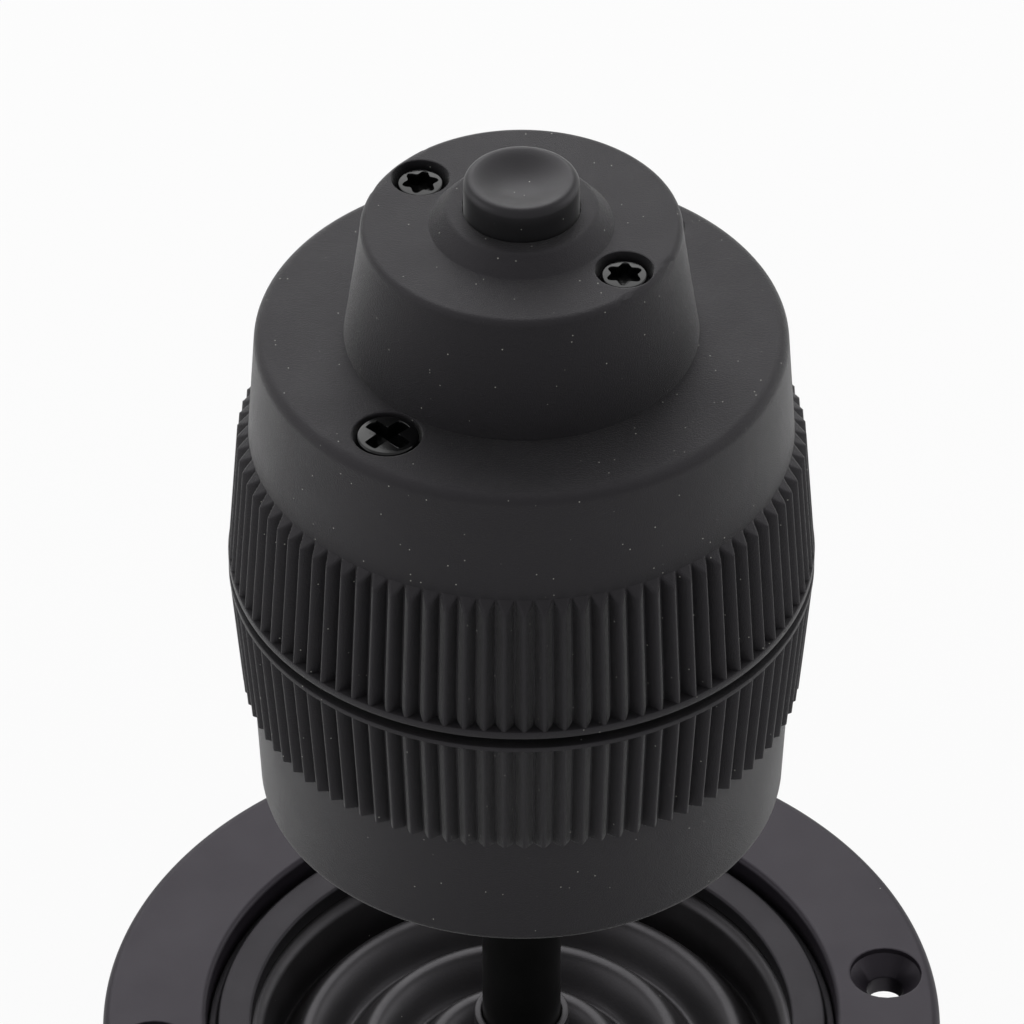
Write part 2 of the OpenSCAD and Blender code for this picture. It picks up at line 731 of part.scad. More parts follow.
module tilt_y_spring() {
    color([0.7, 0.7, 0.72]) translate([0, 0, pivot_z]) rotate([90, 0, 0])
        torsion_spring(y_coil_r, y_wire_r, y_coil_start, y_coil_end, 2, y_post_r, y_fixed_depth,
            y_moving_depth);
}

module lever_shaft() {
    step_z = knob_z + shaft_recess;
    color([0.12, 0.12, 0.13]) difference() {
        rotate_extrude($fn = round * 2) polygon([[0, shaft_end], [shaft_r() - 0.3, shaft_end],
            [shaft_r(), shaft_end + 0.3], [shaft_r(), step_z], [thread_r, step_z],
                [thread_r, shaft_top - 0.4],
            [thread_r - 0.4, shaft_top], [0, shaft_top]]);
        translate([0, 0, wire_exit_z])
            cylinder(r = wire_d / 2, h = shaft_top - wire_exit_z + over, $fn = round);
        translate([0, 0, wire_exit_z]) rotate([-90, 0, 0])
            cylinder(r = wire_exit_r, h = shaft_d, $fn = round);
        translate([0, 0, shaft_end - over])
            cylinder(r = magnet_r + seat, h = magnet_h + over, $fn = round);
    }
}

module sensor_magnet() {
    color([0.7, 0.7, 0.72]) translate([0, 0, shaft_end])
        cylinder(r = magnet_r, h = magnet_h - seat, $fn = round);
}

// Ribs of a grip band that stands on z = 0. Their tips follow a cone from tip_low to tip_high,
// and their free ends slope back to the wall at the low end or at the high end.
module grip_ribs(h, wall_low, wall_high, tip_low, tip_high, bevel_low) {
    deep = min(wall_low, wall_high) - 1;
    far = max(tip_low, tip_high) + 0.2;
    slope = (rib_root_w - rib_tip_w) / 2 / rib_h;
    function half(r) = rib_tip_w / 2 + slope * (far - r);
    intersection() {
        linear_extrude(h) for (i = [0:rib_count - 1]) rotate(360 * i / rib_count)
            polygon([[deep, -half(deep + 1)], [far, -half(far)], [far, half(far)],
                [deep, half(deep + 1)]]);
        rotate_extrude($fn = fine) polygon(bevel_low
            ? [[deep, 0], [wall_low, 0], [tip_low, rib_bevel], [tip_high, h], [deep, h]]
            : [[deep, 0], [tip_low, 0], [tip_high, h - rib_bevel], [wall_high, h], [deep, h]]);
    }
}

module lower_shell() {
    ribs_h = lower_top - lower_rim_h - skirt_top;
    wall_low = lower_tip_r - rib_h + 0.15;
    wall_high = grip_r - rib_h;
    color([0.12, 0.12, 0.125]) difference() {
        union() {
            rotate_extrude($fn = fine) polygon(concat([[0, knob_z]],
                arc(knob_foot_r - foot_edge_r, knob_z + foot_edge_r, foot_edge_r, -90, 0, 4),
                [[wall_low, skirt_top], [wall_high, lower_top - lower_rim_h],
                    [grip_r - 0.1, lower_top - lower_rim_h],
                [grip_r, lower_top - lower_rim_h + 0.1], [grip_r, lower_top - 0.1],
                    [grip_r - 0.1, lower_top],
                [0, lower_top]]));
            translate([0, 0, skirt_top])
                grip_ribs(ribs_h, wall_low, wall_high, lower_tip_r, grip_r - 0.02, true);
        }
        difference() {
            translate([0, 0, knob_z + lower_floor]) cylinder(r = lower_in, h = lower_top, $fn = fine);
            translate([0, 0, knob_z]) cylinder(r = hub_post_r, h = hub_post_h, $fn = round * 2);
            ring_of(deck_screw_count, post_circle, deck_screw_turn) translate([0, 0, knob_z])
                cylinder(r = post_r, h = deck_z - knob_z, $fn = round);
            for (i = [0:deck_screw_count - 1]) rotate(deck_screw_turn + 360 * i / deck_screw_count)
                translate([0, -web_t / 2, knob_z]) cube([lower_in + 1, web_t, hub_post_h - 3]);
        }
        translate([0, 0, deck_z]) cylinder(r = deck_r + seat * 5, h = lower_top, $fn = fine);
        translate([0, 0, knob_z - over])
            cylinder(r = thread_r + screw_clear, h = hub_post_h + 2 * over, $fn = round);
        translate([0, 0, knob_z - over])
            cylinder(r = shaft_r() + screw_clear, h = shaft_recess + over, $fn = round * 2);
        ring_of(deck_screw_count, post_circle, deck_screw_turn) translate([0, 0, deck_z - deck_screw_l])
            cylinder(r = m25 + seat, h = deck_screw_l + over, $fn = round);
    }
}

module shaft_nut() {
    color([0.7, 0.7, 0.72]) difference() {
        translate([0, 0, hub_top]) cylinder(r = nut_r, h = nut_h, $fn = 6);
        translate([0, 0, hub_top - over])
            cylinder(r = thread_r + seat, h = nut_h + 2 * over, $fn = round);
    }
}

// A stop lug between stop_in and stop_out on the X axis
module lug(z, h) {
    translate([stop_in, -stop_w / 2, z]) cube([stop_out - stop_in, stop_w, h]);
}

module twist_deck() {
    stop_angle = twist_max + asin(stop_w / stop_in) + stop_play;
    color([0.2, 0.2, 0.21]) difference() {
        union() {
            translate([0, 0, deck_z]) cylinder(r = deck_r, h = deck_t, $fn = fine);
            tube(deck_r, labyrinth_r, deck_z, labyrinth_z, fine);
            translate([0, 0, deck_z])
                cylinder(r = spindle_step_r, h = step_top - deck_z, $fn = round * 2);
            translate([0, 0, deck_z]) cylinder(r = spindle_r, h = spindle_top - deck_z, $fn = round * 2);
            translate([t_fixed_r, 0, deck_z]) cylinder(r = t_post_r, h = step_top - deck_z, $fn = round);
            for (s = [-1, 1]) rotate(s * stop_angle) lug(deck_z, deck_t + stop_h);
        }
        translate([0, 0, deck_z - over]) cylinder(r = spindle_bore_r, h = spindle_top, $fn = round);
        tube(spindle_r + over, groove_r, carrier_top + end_play, carrier_top + end_play + ring_groove_h);
        ring_of(deck_screw_count, post_circle, deck_screw_turn) translate([0, 0, deck_z - over])
            cylinder(r = m25 + screw_clear, h = deck_t + 2 * over, $fn = round);
    }
}

module deck_screws() {
    color([0.6, 0.6, 0.62]) ring_of(deck_screw_count, post_circle, deck_screw_turn)
        translate([0, 0, deck_top])
        pan_screw(m25, m25_head - 0.2, m25_head_h - 0.3, deck_screw_l);
}

module handle_board() {
    color([0.1, 0.32, 0.16]) difference() {
        tube(magnet_in + board_ring_w, magnet_in, deck_top, deck_top + handle_board_t, fine);
        translate([0, -post_circle, deck_top - over])
            cube([post_circle, 2 * post_circle, handle_board_t + 2 * over]);
    }
}

module twist_sensor() {
    color([0.08, 0.08, 0.08]) rotate(180)
        translate([magnet_in + board_ring_w / 2, 0, deck_top + handle_board_t])
        rotate(90) chip(chip_w, chip_d, chip_h, 3);
}

module twist_spring() {
    color([0.7, 0.7, 0.72]) rotate(90)
        torsion_spring(t_coil_r, t_wire_r, t_coil_start, t_coil_end, 1, t_post_r, t_fixed_r, t_moving_r);
}

module retaining_ring() {
    z = carrier_top + end_play + seat;
    color([0.3, 0.3, 0.32]) difference() {
        tube(retainer_r, groove_r + seat, z, z + ring_groove_h - 2 * seat);
        translate([0, -1.6, z - over]) cube([retainer_r + over, 3.2, ring_groove_h + 2 * over]);
    }
}

module carrier() {
    web_h = carrier_top - carrier_z - 2;
    color([0.2, 0.2, 0.21]) difference() {
        union() {
            translate([0, 0, carrier_z]) cylinder(r = carrier_r, h = carrier_t, $fn = fine);
            translate([0, 0, carrier_z])
                cylinder(r = carrier_hub_r, h = carrier_top - carrier_z, $fn = round * 2);
            ring_of(2, shoulder_screw_circle, shoulder_screw_turn) translate([0, 0, carrier_z])
                cylinder(r = screw_post_r, h = roof_z - carrier_z, $fn = round);
            for (a = [0, 180]) rotate(shoulder_screw_turn + a)
                translate([carrier_hub_r - 1, -web_t / 2, carrier_z])
                cube([shoulder_screw_circle - carrier_hub_r, web_t, web_h]);
            translate([t_moving_r, 0, t_coil_start - t_wire_r - 0.2])
                cylinder(r = t_post_r, h = carrier_z + 1 - t_coil_start + t_wire_r, $fn = round);
            lug(carrier_z - stop_h, stop_h + 1);
        }
        translate([0, 0, carrier_z - over])
            cylinder(r = twist_bush_r + seat, h = carrier_top - carrier_z + 2 * over, $fn = round * 2);
        ring_of(2, shoulder_screw_circle, shoulder_screw_turn)
            translate([0, 0, roof_z - shoulder_screw_l])
            cylinder(r = m25 + seat, h = shoulder_screw_l + over, $fn = round);
    }
}

module twist_bush() {
    color([0.62, 0.5, 0.3]) translate([0, 0, carrier_z]) rotate([0, -90, 0])
        bush(spindle_r + run_clear, twist_bush_r, twist_bush_flange_r, carrier_top - carrier_z);
}

module twist_magnet() {
    color([0.7, 0.7, 0.72]) rotate(180)
        translate([magnet_in + board_ring_w / 2 - twist_magnet_w / 2, -twist_magnet_w / 2,
            carrier_z - twist_magnet_h])
            cube([twist_magnet_w, twist_magnet_w, twist_magnet_h]);
}

module upper_shell() {
    ribs_z = upper_bottom + upper_rim_h;
    ribs_h = grip_top - ribs_z;
    wall_low = grip_r - rib_h;
    wall_high = upper_tip_r - rib_h + 0.1;
    color([0.12, 0.12, 0.125]) difference() {
        union() {
            rotate_extrude($fn = fine) polygon(concat([[0, upper_bottom], [grip_r - 0.15, upper_bottom],
                [grip_r, upper_bottom + 0.15], [grip_r - 0.05, ribs_z - 0.1], [grip_r - 0.15, ribs_z],
                [wall_low, ribs_z], [wall_high, grip_top]],
                arc(shoulder_r - shoulder_edge_r, shoulder_z - shoulder_edge_r, shoulder_edge_r, 0, 90),
                [[0, shoulder_z]]));
            translate([0, 0, ribs_z])
                grip_ribs(ribs_h, wall_low, wall_high, grip_r - 0.06, upper_tip_r, false);
        }
        translate([0, 0, upper_bottom - over])
            cylinder(r = carrier_r + seat * 5, h = carrier_z + carrier_t - upper_bottom + over,
                $fn = fine);
        translate([0, 0, upper_bottom]) cylinder(r = crown_in, h = roof_z - upper_bottom, $fn = fine);
        translate([0, 0, roof_z - over]) cylinder(r = roof_hole_r, h = roof_t + 2 * over, $fn = round);
        ring_of(2, shoulder_screw_circle, shoulder_screw_turn) {
            translate([0, 0, roof_z - over])
                cylinder(r = m25 + screw_clear, h = roof_t + 2 * over, $fn = round);
            translate([0, 0, shoulder_z - shoulder_cbore_h])
                cylinder(r = shoulder_cbore_r, h = shoulder_cbore_h + over, $fn = round);
        }
        ring_of(2, turret_screw_circle, turret_screw_turn) translate([0, 0, roof_z - over])
            cylinder(r = m2 + seat, h = roof_t + 2 * over, $fn = round);
    }
}

module shoulder_screws() {
    color([0.06, 0.06, 0.06]) ring_of(2, shoulder_screw_circle, shoulder_screw_turn)
        translate([0, 0, shoulder_z - shoulder_cbore_h])
            pan_screw(m25, m25_head, m25_head_h, shoulder_screw_l + roof_t - shoulder_cbore_h - 0.5);
}

module turret() {
    wall_h = turret_h - turret_edge_r;
    flare = [for (i = [0:turret_steps]) let (t = i / turret_steps)
        [turret_top_r + (turret_foot_r - turret_top_r) * pow(1 - t, turret_flare),
            shoulder_z + wall_h * t]];
    color([0.12, 0.12, 0.125]) difference() {
        rotate_extrude($fn = fine) polygon(concat([[0, shoulder_z]], flare,
            arc(turret_top_r - turret_edge_r, turret_top - turret_edge_r, turret_edge_r, 15, 90, 5),
            [[collar_foot_r, turret_top], [collar_top_r, collar_top], [0, collar_top]]));
        difference() {
            translate([0, 0, shoulder_z - over])
                cylinder(r = turret_in, h = turret_ceiling - shoulder_z + over, $fn = fine);
            ring_of(2, turret_screw_circle, turret_screw_turn) translate([0, 0, shoulder_z - 2 * over])
                cylinder(r = turret_post_r, h = turret_h, $fn = round);
        }
        translate([0, 0, shoulder_z - 3 * over]) cylinder(r = turret_foot_r, h = 3 * over, $fn = fine);
        translate([0, 0, shoulder_z])
            cylinder(r = button_r + button_clear, h = turret_h + collar_h + over, $fn = round * 2);
        ring_of(2, turret_screw_circle, turret_screw_turn) {
            translate([0, 0, shoulder_z - over])
                cylinder(r = m2 + screw_clear, h = turret_h, $fn = round);
            translate([0, 0, turret_top - turret_cbore_h])
                cylinder(r = turret_cbore_r, h = turret_cbore_h + over, $fn = round);
        }
    }
}

module turret_screws() {
    color([0.06, 0.06, 0.06]) ring_of(2, turret_screw_circle, turret_screw_turn)
        translate([0, 0, turret_top - turret_cbore_h])
            pan_screw(m2, m2_head, m2_head_h, turret_h - turret_cbore_h + roof_t - 0.5);
}

module button_board() {
    color([0.1, 0.32, 0.16]) translate([0, 0, shoulder_z])
        cylinder(r = switch_board_r, h = switch_board_t, $fn = fine);
}

module button_switch() {
    color([0.15, 0.15, 0.15]) difference() {
        translate([-switch_w / 2, -switch_w / 2, switch_board_top]) cube([switch_w, switch_w, switch_h]);
        translate([0, 0, switch_top - plunger_sink])
            cylinder(r = plunger_r + button_clear, h = plunger_sink + over, $fn = round);
    }
}

module button_spring() {
    color([0.7, 0.7, 0.72])
        coil_spring(button_spring_r, button_wire_r, switch_board_top + seat, button_flange_z - seat,
            button_turns);
}

module button_cap() {
    socket_r = plunger_r + seat;
    dish = [for (i = [1:dish_steps]) let (t = 1 - i / dish_steps)
        [dish_r * t, button_top - dish_depth * (1 - t * t)]];
    color([0.1, 0.1, 0.105]) difference() {
        rotate_extrude($fn = round * 2) polygon(concat(
            [[0, button_flange_z], [button_flange_r, button_flange_z]],
            [[button_flange_r, button_flange_top], [button_r, button_flange_top]],
            arc(button_r - button_edge_r, button_top - button_edge_r, button_edge_r, 0, 90),
            dish));
        translate([0, 0, button_flange_z - over]) cylinder(r = socket_r, h = over + 0.6, $fn = round);
    }
}

module switch_plunger() {
    color([0.8, 0.8, 0.78]) translate([0, 0, switch_top - plunger_sink + button_travel + 0.2])
        cylinder(r = plunger_r,
            h = button_flange_z + 0.6 - switch_top + plunger_sink - button_travel - 0.2, $fn = round);
}

flange();
boot_clamp_ring();
boot();
housing();
trunnion_bushes();
housing_screws();
gate_plate();
spacers();
sensor_board();
tilt_sensor();
connector_header();
connector_pins();
base_cover();
cover_screws();
tilt_x_spring();
gimbal_ring();
gimbal_pins();
gimbal_bushes();
lever_hub();
lever_pins();
tilt_y_spring();
lever_shaft();
sensor_magnet();
lower_shell();
shaft_nut();
twist_deck();
deck_screws();
handle_board();
twist_sensor();
twist_spring();
retaining_ring();
carrier();
twist_bush();
twist_magnet();
upper_shell();
shoulder_screws();
turret();
turret_screws();
button_board();
button_switch();
button_spring();
button_cap();
switch_plunger();
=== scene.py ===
import json
import math

import bmesh
import bpy
import numpy as np
from mathutils import Matrix, Vector


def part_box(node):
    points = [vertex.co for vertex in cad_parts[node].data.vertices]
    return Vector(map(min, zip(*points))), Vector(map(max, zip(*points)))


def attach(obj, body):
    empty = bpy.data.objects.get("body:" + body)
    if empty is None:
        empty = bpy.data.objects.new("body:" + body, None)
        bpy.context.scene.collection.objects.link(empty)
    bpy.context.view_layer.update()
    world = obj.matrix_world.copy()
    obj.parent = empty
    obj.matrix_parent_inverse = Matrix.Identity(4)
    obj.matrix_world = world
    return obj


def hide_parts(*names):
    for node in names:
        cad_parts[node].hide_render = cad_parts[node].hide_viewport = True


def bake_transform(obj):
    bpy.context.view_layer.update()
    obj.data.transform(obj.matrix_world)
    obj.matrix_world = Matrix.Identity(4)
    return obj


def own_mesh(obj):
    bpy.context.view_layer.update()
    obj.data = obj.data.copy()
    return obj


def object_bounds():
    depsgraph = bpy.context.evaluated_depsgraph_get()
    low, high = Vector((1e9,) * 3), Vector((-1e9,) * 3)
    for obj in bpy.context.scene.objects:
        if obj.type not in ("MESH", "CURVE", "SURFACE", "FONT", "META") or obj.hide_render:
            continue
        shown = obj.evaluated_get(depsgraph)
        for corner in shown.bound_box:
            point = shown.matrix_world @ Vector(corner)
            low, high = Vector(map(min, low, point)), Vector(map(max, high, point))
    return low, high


bl_info = {
    "name": "Twist-grip joystick",
    "version": (1, 0, 0),
    "blender": (4, 5, 0),
    "location": "3D View > Sidebar > Joystick",
    "description": "Builds the visible skins, finishes and studio of a three-axis panel joystick",
    "category": "Object",
}

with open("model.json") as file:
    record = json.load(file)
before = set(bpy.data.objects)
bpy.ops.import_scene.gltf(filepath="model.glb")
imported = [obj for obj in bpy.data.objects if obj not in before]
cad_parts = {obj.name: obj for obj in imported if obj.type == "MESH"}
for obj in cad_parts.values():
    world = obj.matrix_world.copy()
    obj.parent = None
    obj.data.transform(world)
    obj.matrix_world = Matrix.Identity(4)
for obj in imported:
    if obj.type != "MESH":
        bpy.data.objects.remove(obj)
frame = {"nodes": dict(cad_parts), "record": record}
CAD_LOW, CAD_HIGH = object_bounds()

MM = 0.001
SHARP = math.radians(38)    # faces that meet more steeply than this keep a sharp edge
SHAFT_FIT = 0.05            # gap between the shaft and the pieces that slide over it, in millimetres
PRESS_FIT = 0.03            # gap between pieces pressed together, in millimetres


def reach(node):
    """Radius along x, lowest height and highest height of a CAD node, in millimetres."""
    low, high = (np.array(corner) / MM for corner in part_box(node))
    return high[0], low[2], high[2]


def linear(code):
    """An sRGB hex colour as linear red, green and blue."""
    c = np.array([int(code[i:i + 2], 16) for i in (1, 3, 5)]) / 255
    return tuple(np.where(c <= 0.04045, c / 12.92, ((c + 0.055) / 1.055) ** 2.4))


def size(name, description, default):
    """A length property, kept in metres and given here in millimetres."""
    return bpy.props.FloatProperty(name=name, description=description, default=float(default) * MM,
                                   min=0.0, subtype="DISTANCE", unit="LENGTH", precision=5)


def angle(name, description, degrees):
    """An angle property, kept in radians and given here in degrees."""
    return bpy.props.FloatProperty(name=name, description=description, default=math.radians(degrees),
                                   subtype="ANGLE", unit="ROTATION")


def number(name, description, default, low, high):
    """A plain number property between two limits."""
    return bpy.props.FloatProperty(name=name, description=description, default=default, min=low, max=high)


def count(name, description, default, low, high):
    """A whole-number property between two limits."""
    return bpy.props.IntProperty(name=name, description=description, default=default, min=low, max=high)


def colour(name, description, code):
    """A colour property whose default is an sRGB hex value."""
    return bpy.props.FloatVectorProperty(name=name, description=description, default=linear(code),
                                         size=3, min=0.0, max=1.0, subtype="COLOR")


def mm(group, *names):
    """The named length properties of a settings group, in millimetres."""
    values = [getattr(group, n) / MM for n in names]
    return values[0] if len(values) == 1 else values


# ---- settings ----


class PanelSettings(bpy.types.PropertyGroup):
    edge_radius: size("Edge radius", "Rounding of the flange's upper outer edge", 0.85)
    foot_edge: size("Foot chamfer", "Chamfer of the flange's lower outer edge", 0.3)
    throat_radius: size("Throat radius", "Radius of the opening above the boot", 28.7)
    lip_radius: size("Lip radius", "Rounding of the throat's upper edge", 0.5)
    spigot_radius: size("Spigot radius", "Radius of the part that drops through the panel", 30.0)
    ledge_radius: size("Ledge radius", "Inner radius of the ledge that carries the boot", 23.9)
    ledge_depth: size("Ledge depth", "Depth of that ledge under the flange's face", 4.4)
    hole_circle: size("Hole circle radius", "Radius of the circle through the panel screw holes", 33.7)
    hole_radius: size("Hole radius", "Radius of a panel screw hole", 1.7)
    sink_radius: size("Countersink radius", "Radius of a countersink at the flange's face", 3.25)
    ring_width: size("Clamp ring width", "Width of the clamp ring's visible face", 3.15)
    ring_gap: size("Clamp ring groove", "Groove between the clamp ring and the throat", 0.95)
    ring_foot: size("Clamp ring foot", "Height of the foot that presses in the throat", 0.6)
    hole_count: count("Holes", "Number of panel screw holes", 4, 2, 12)


class BootSettings(bpy.types.PropertyGroup):
    wall: size("Wall", "Thickness of the moulded rubber", 0.9)
    crest_drop: size("Crest depth", "Depth of the crests under the flange's face", 5.0)
    fold_height: size("Fold height", "Height of a fold from valley to crest", 3.0)
    fold_pitch: size("Fold pitch", "Distance from crest to crest", 5.9)
    first_crest: size("First crest", "Radius of the innermost crest", 8.1)
    bead: size("Bead", "Thickness of the bead held under the clamp ring", 1.4)
    neck_wall: size("Neck wall", "Wall of the collar that hugs the lever", 0.7)


class KnobSettings(bpy.types.PropertyGroup):
    ribs: count("Ribs", "Number of ribs round each grip band", 93, 24, 120)
    rib_height: size("Rib height", "Height of a rib above the wall", 1.05)
    rib_root: size("Rib root", "Width of a rib at its root", 1.5)
    rib_crest: number("Rib crest", "How round the crest of a rib is", 0.3, 0.02, 2.0)
    lower_bevel: size("Lower bevel", "Length of the slope at the lower ribs' free ends", 0.16)
    upper_bevel: size("Upper bevel", "Length of the slope at the upper ribs' free ends", 0.85)
    foot_radius: size("Foot radius", "Radius of the knob's lower edge", 23.0)
    foot_edge: size("Foot rounding", "Rounding of the knob's lower edge", 0.8)
    skirt: size("Skirt height", "Plain wall under the lower band", 11.9)
    lower_rim: size("Lower rim", "Height of the rim that closes the lower band", 0.5)
    upper_rim: size("Upper rim", "Height of the rim that closes the upper band", 0.75)
    lower_taper: number("Lower taper", "Fall of the lower ribs' tips per unit of height", 0.075, 0.0, 0.2)
    upper_taper: number("Upper taper", "Fall of the upper ribs' tips per unit of height", 0.08, 0.0, 0.2)
    upper_band: size("Upper band", "Height of the upper band with its rim", 13.55)
    shoulder_radius: size("Shoulder radius", "Radius of the plain wall at the shoulder", 22.6)
    shoulder_edge: size("Shoulder rounding", "Rounding of the shoulder's edge", 0.95)
    roof: size("Roof", "Thickness of the shoulder's roof", 3.5)
    wall: size("Wall", "Thickness of the shells", 2.4)
    bore_radius: size("Roof bore", "Radius of the wire passage in the roof", 4.0)
    screw_circle: size("Screw circle radius", "Radius of the circle of the shoulder screws", 17.95)
    screw_turn: angle("Screw turn", "Place of the first shoulder screw round the axis", 43.5)
    pocket_radius: size("Pocket radius", "Radius of a shoulder screw's counterbore", 2.9)
    pocket_depth: size("Pocket depth", "Depth of a shoulder screw's counterbore", 1.9)


class TurretSettings(bpy.types.PropertyGroup):
    top_radius: size("Top radius", "Radius of the turret under its edge", 13.5)
    edge_radius: size("Edge rounding", "Rounding of the turret's upper edge", 0.6)
    collar_height: size("Collar height", "Height of the collar round the button", 1.7)
    collar_foot: size("Collar foot", "Radius of the collar at the turret's face", 7.75)
    collar_top: size("Collar top", "Radius of the collar's flat top", 6.35)
    bore_radius: size("Bore radius", "Radius of the button's bore", 4.95)
    screw_circle: size("Screw circle radius", "Radius of the circle of the turret screws", 10.6)
    screw_turn: angle("Screw turn", "Place of the first turret screw round the axis", 135.0)
    pocket_radius: size("Pocket radius", "Radius of a turret screw's counterbore", 2.45)
    pocket_depth: size("Pocket depth", "Depth of a turret screw's counterbore", 1.8)
    button_radius: size("Button radius", "Radius of the button's wall", 4.85)
    button_edge: size("Button edge", "Rounding of the button's upper edge", 0.7)
    dish_depth: size("Dish depth", "Depth of the dish in the button's top", 0.9)


class FinishSettings(bpy.types.PropertyGroup):
    plastic: colour("Knob plastic", "Colour of the knob's moulded shells", "#171618")
    button: colour("Button plastic", "Colour of the push button", "#161617")
    anodised: colour("Anodised aluminium", "Colour of the flange", "#1d1a1f")
    rubber: colour("Rubber", "Colour of the boot", "#1a191a")
    shaft: colour("Shaft", "Colour of the blackened shaft", "#131313")
    housing: colour("Housing plastic", "Colour of the housing and the base cover", "#242426")
    dust: colour("Dust", "Colour of the dust specks", "#bcbcb4")


class StageSettings(bpy.types.PropertyGroup):
    lens: bpy.props.FloatProperty(name="Lens", description="Focal length of the camera", default=258.36,
                                  min=20.0, max=600.0, subtype="DISTANCE_CAMERA")
    distance: size("Distance", "Distance of the camera from its target on the lever's axis", 631.94)
    target: size("Target height", "Height of the camera's target above the panel's face", 62.56)
    azimuth: angle("Azimuth", "Turn of the camera from the front", -8.3)
    elevation: angle("Elevation", "Rise of the camera above level", 39.37)
    shift: number("Shift", "Sideways shift of the camera's frame", -0.0093, -0.2, 0.2)
    floor: colour("Floor", "Colour of the floor", "#fafafa")


GROUPS = {"joystick_panel": PanelSettings, "joystick_boot": BootSettings, "joystick_knob": KnobSettings,
          "joystick_turret": TurretSettings, "joystick_finish": FinishSettings,
          "joystick_stage": StageSettings}

# ---- surfaces ----


def placed(name, data):
    """A new object in the scene, at the origin."""
    made = bpy.data.objects.new(name, data)
    bpy.context.scene.collection.objects.link(made)
    return made


class Skin:
    """Vertices and faces of one closed surface, gathered as whole arrays. Points are in millimetres."""

    def __init__(self):
        self.points, self.faces, self.total = [], [], 0

    def add(self, x, y, z):
        """Adds points and returns their numbers in an array of the same shape."""
        x, y, z = np.broadcast_arrays(x, y, z)
        self.points.append(np.stack([x, y, z], -1).reshape(-1, 3))
        numbers = self.total + np.arange(x.size).reshape(x.shape)
        self.total += x.size
        return numbers

    def sheet(self, grid, along=False, keep=None):
        """Quads between neighbours of a grid of point numbers, whose last column joins the first.
        along joins the last row to the first too, and keep leaves cells out."""
        grid = np.concatenate([grid, grid[:, :1]], 1)
        if along:
            grid = np.concatenate([grid, grid[:1]], 0)
        quads = np.stack([grid[:-1, :-1], grid[:-1, 1:], grid[1:, 1:], grid[1:, :-1]], -1)
        if keep is not None:
            quads = quads[keep]
        self.faces.append(quads.reshape(-1, 4))

    def cap(self, ring, x, y, z):
        """A fan from a ring of point numbers to one new point."""
        tip = self.add(np.array([x]), y, z)
        self.faces.append(np.stack([ring, np.roll(ring, -1), np.broadcast_to(tip, ring.shape)], -1))

    def piece(self, name, material, smooth=SHARP):
        """The surface as an object at the origin, in metres, with sharp edges at steep corners."""
        points = np.concatenate(self.points) * MM
        mesh = bpy.data.meshes.new(name)
        loops = np.concatenate([f.ravel() for f in self.faces])
        sides = np.concatenate([np.full(len(f), f.shape[1]) for f in self.faces])
        mesh.vertices.add(len(points))
        mesh.vertices.foreach_set("co", points.ravel())
        mesh.loops.add(len(loops))
        mesh.loops.foreach_set("vertex_index", loops)
        mesh.polygons.add(len(sides))
        mesh.polygons.foreach_set("loop_start", np.concatenate([[0], np.cumsum(sides)[:-1]]))
        mesh.polygons.foreach_set("loop_total", sides)
        mesh.update(calc_edges=True)
        mesh.validate()
        mesh.polygons.foreach_set("use_smooth", np.ones(len(mesh.polygons), bool))
        mesh.set_sharp_from_angle(angle=smooth)
        mesh.materials.append(material)
        made = placed(name, mesh)
        made.modifiers.new("Weighted normals", "WEIGHTED_NORMAL").keep_sharp = True
        return made


def arc(x, y, radius, start, end, steps=5):
    """Points of an arc about (x, y) between two angles in degrees."""
    a = np.radians(np.linspace(start, end, steps + 1))
    return np.stack([x + radius * np.cos(a), y + radius * np.sin(a)], -1)


def softened(outline, radius=0.12, steps=2, closed=True):
    """An outline whose corners are cut by short parabolas: at each corner P between the points A and B
    at the given distance along its two sides, the new points follow (1-t)^2 A + 2t(1-t) P + t^2 B."""
    p = np.asarray(outline, float)
    back, ahead = np.roll(p, 1, 0) - p, np.roll(p, -1, 0) - p
    lb, la = np.linalg.norm(back, axis=1), np.linalg.norm(ahead, axis=1)
    turn = np.sum(back * ahead, 1) / (lb * la)
    cut = np.minimum(radius, 0.4 * np.minimum(lb, la)) * (turn > -math.cos(math.radians(25)))
    if not closed:
        cut[[0, -1]] = 0
    a, b = p + back / lb[:, None] * cut[:, None], p + ahead / la[:, None] * cut[:, None]
    t = np.linspace(0, 1, steps + 2)[None, :, None]
    curve = (1 - t) ** 2 * a[:, None] + 2 * t * (1 - t) * p[:, None] + t ** 2 * b[:, None]
    new = [curve[i] if cut[i] > 0 else p[i:i + 1] for i in range(len(p))]
    return np.concatenate(new)


def densified(outline, longest, closed=True):
    """An outline with points added along its sides, so that no side is longer than the given length."""
    p = np.asarray(outline, float)
    q = np.roll(p, -1, 0) if closed else p[1:]
    p0 = p if closed else p[:-1]
    count = np.maximum(1, np.ceil(np.linalg.norm(q - p0, axis=1) / longest).astype(int))
    new = [a + (b - a) * np.arange(n)[:, None] / n for a, b, n in zip(p0, q, count)]
    return np.concatenate(new + ([] if closed else [p[-1:]]))


def wheel(skin, outline, columns):
    """An outline of (radius, height) turned about the axis, x = r cos a and y = r sin a, as points
    without faces. Returns their grid and the angles of its columns."""
    a = np.arange(columns) * 2 * math.pi / columns
    return skin.add(outline[:, :1] * np.cos(a), outline[:, :1] * np.sin(a), outline[:, 1:]), a


def turned(outline, columns, closed=True):
    """A skin with the points and the faces of a wheel. An outline that isn't closed runs from the axis
    to the axis, and its two ends are single points."""
    skin = Skin()
    grid = wheel(skin, outline if closed else outline[1:-1], columns)[0]
    skin.sheet(grid, along=closed)
    if not closed:
        skin.cap(grid[-1], 0.0, 0.0, outline[-1, 1])
        skin.cap(grid[0, ::-1], 0.0, 0.0, outline[0, 1])
    return skin


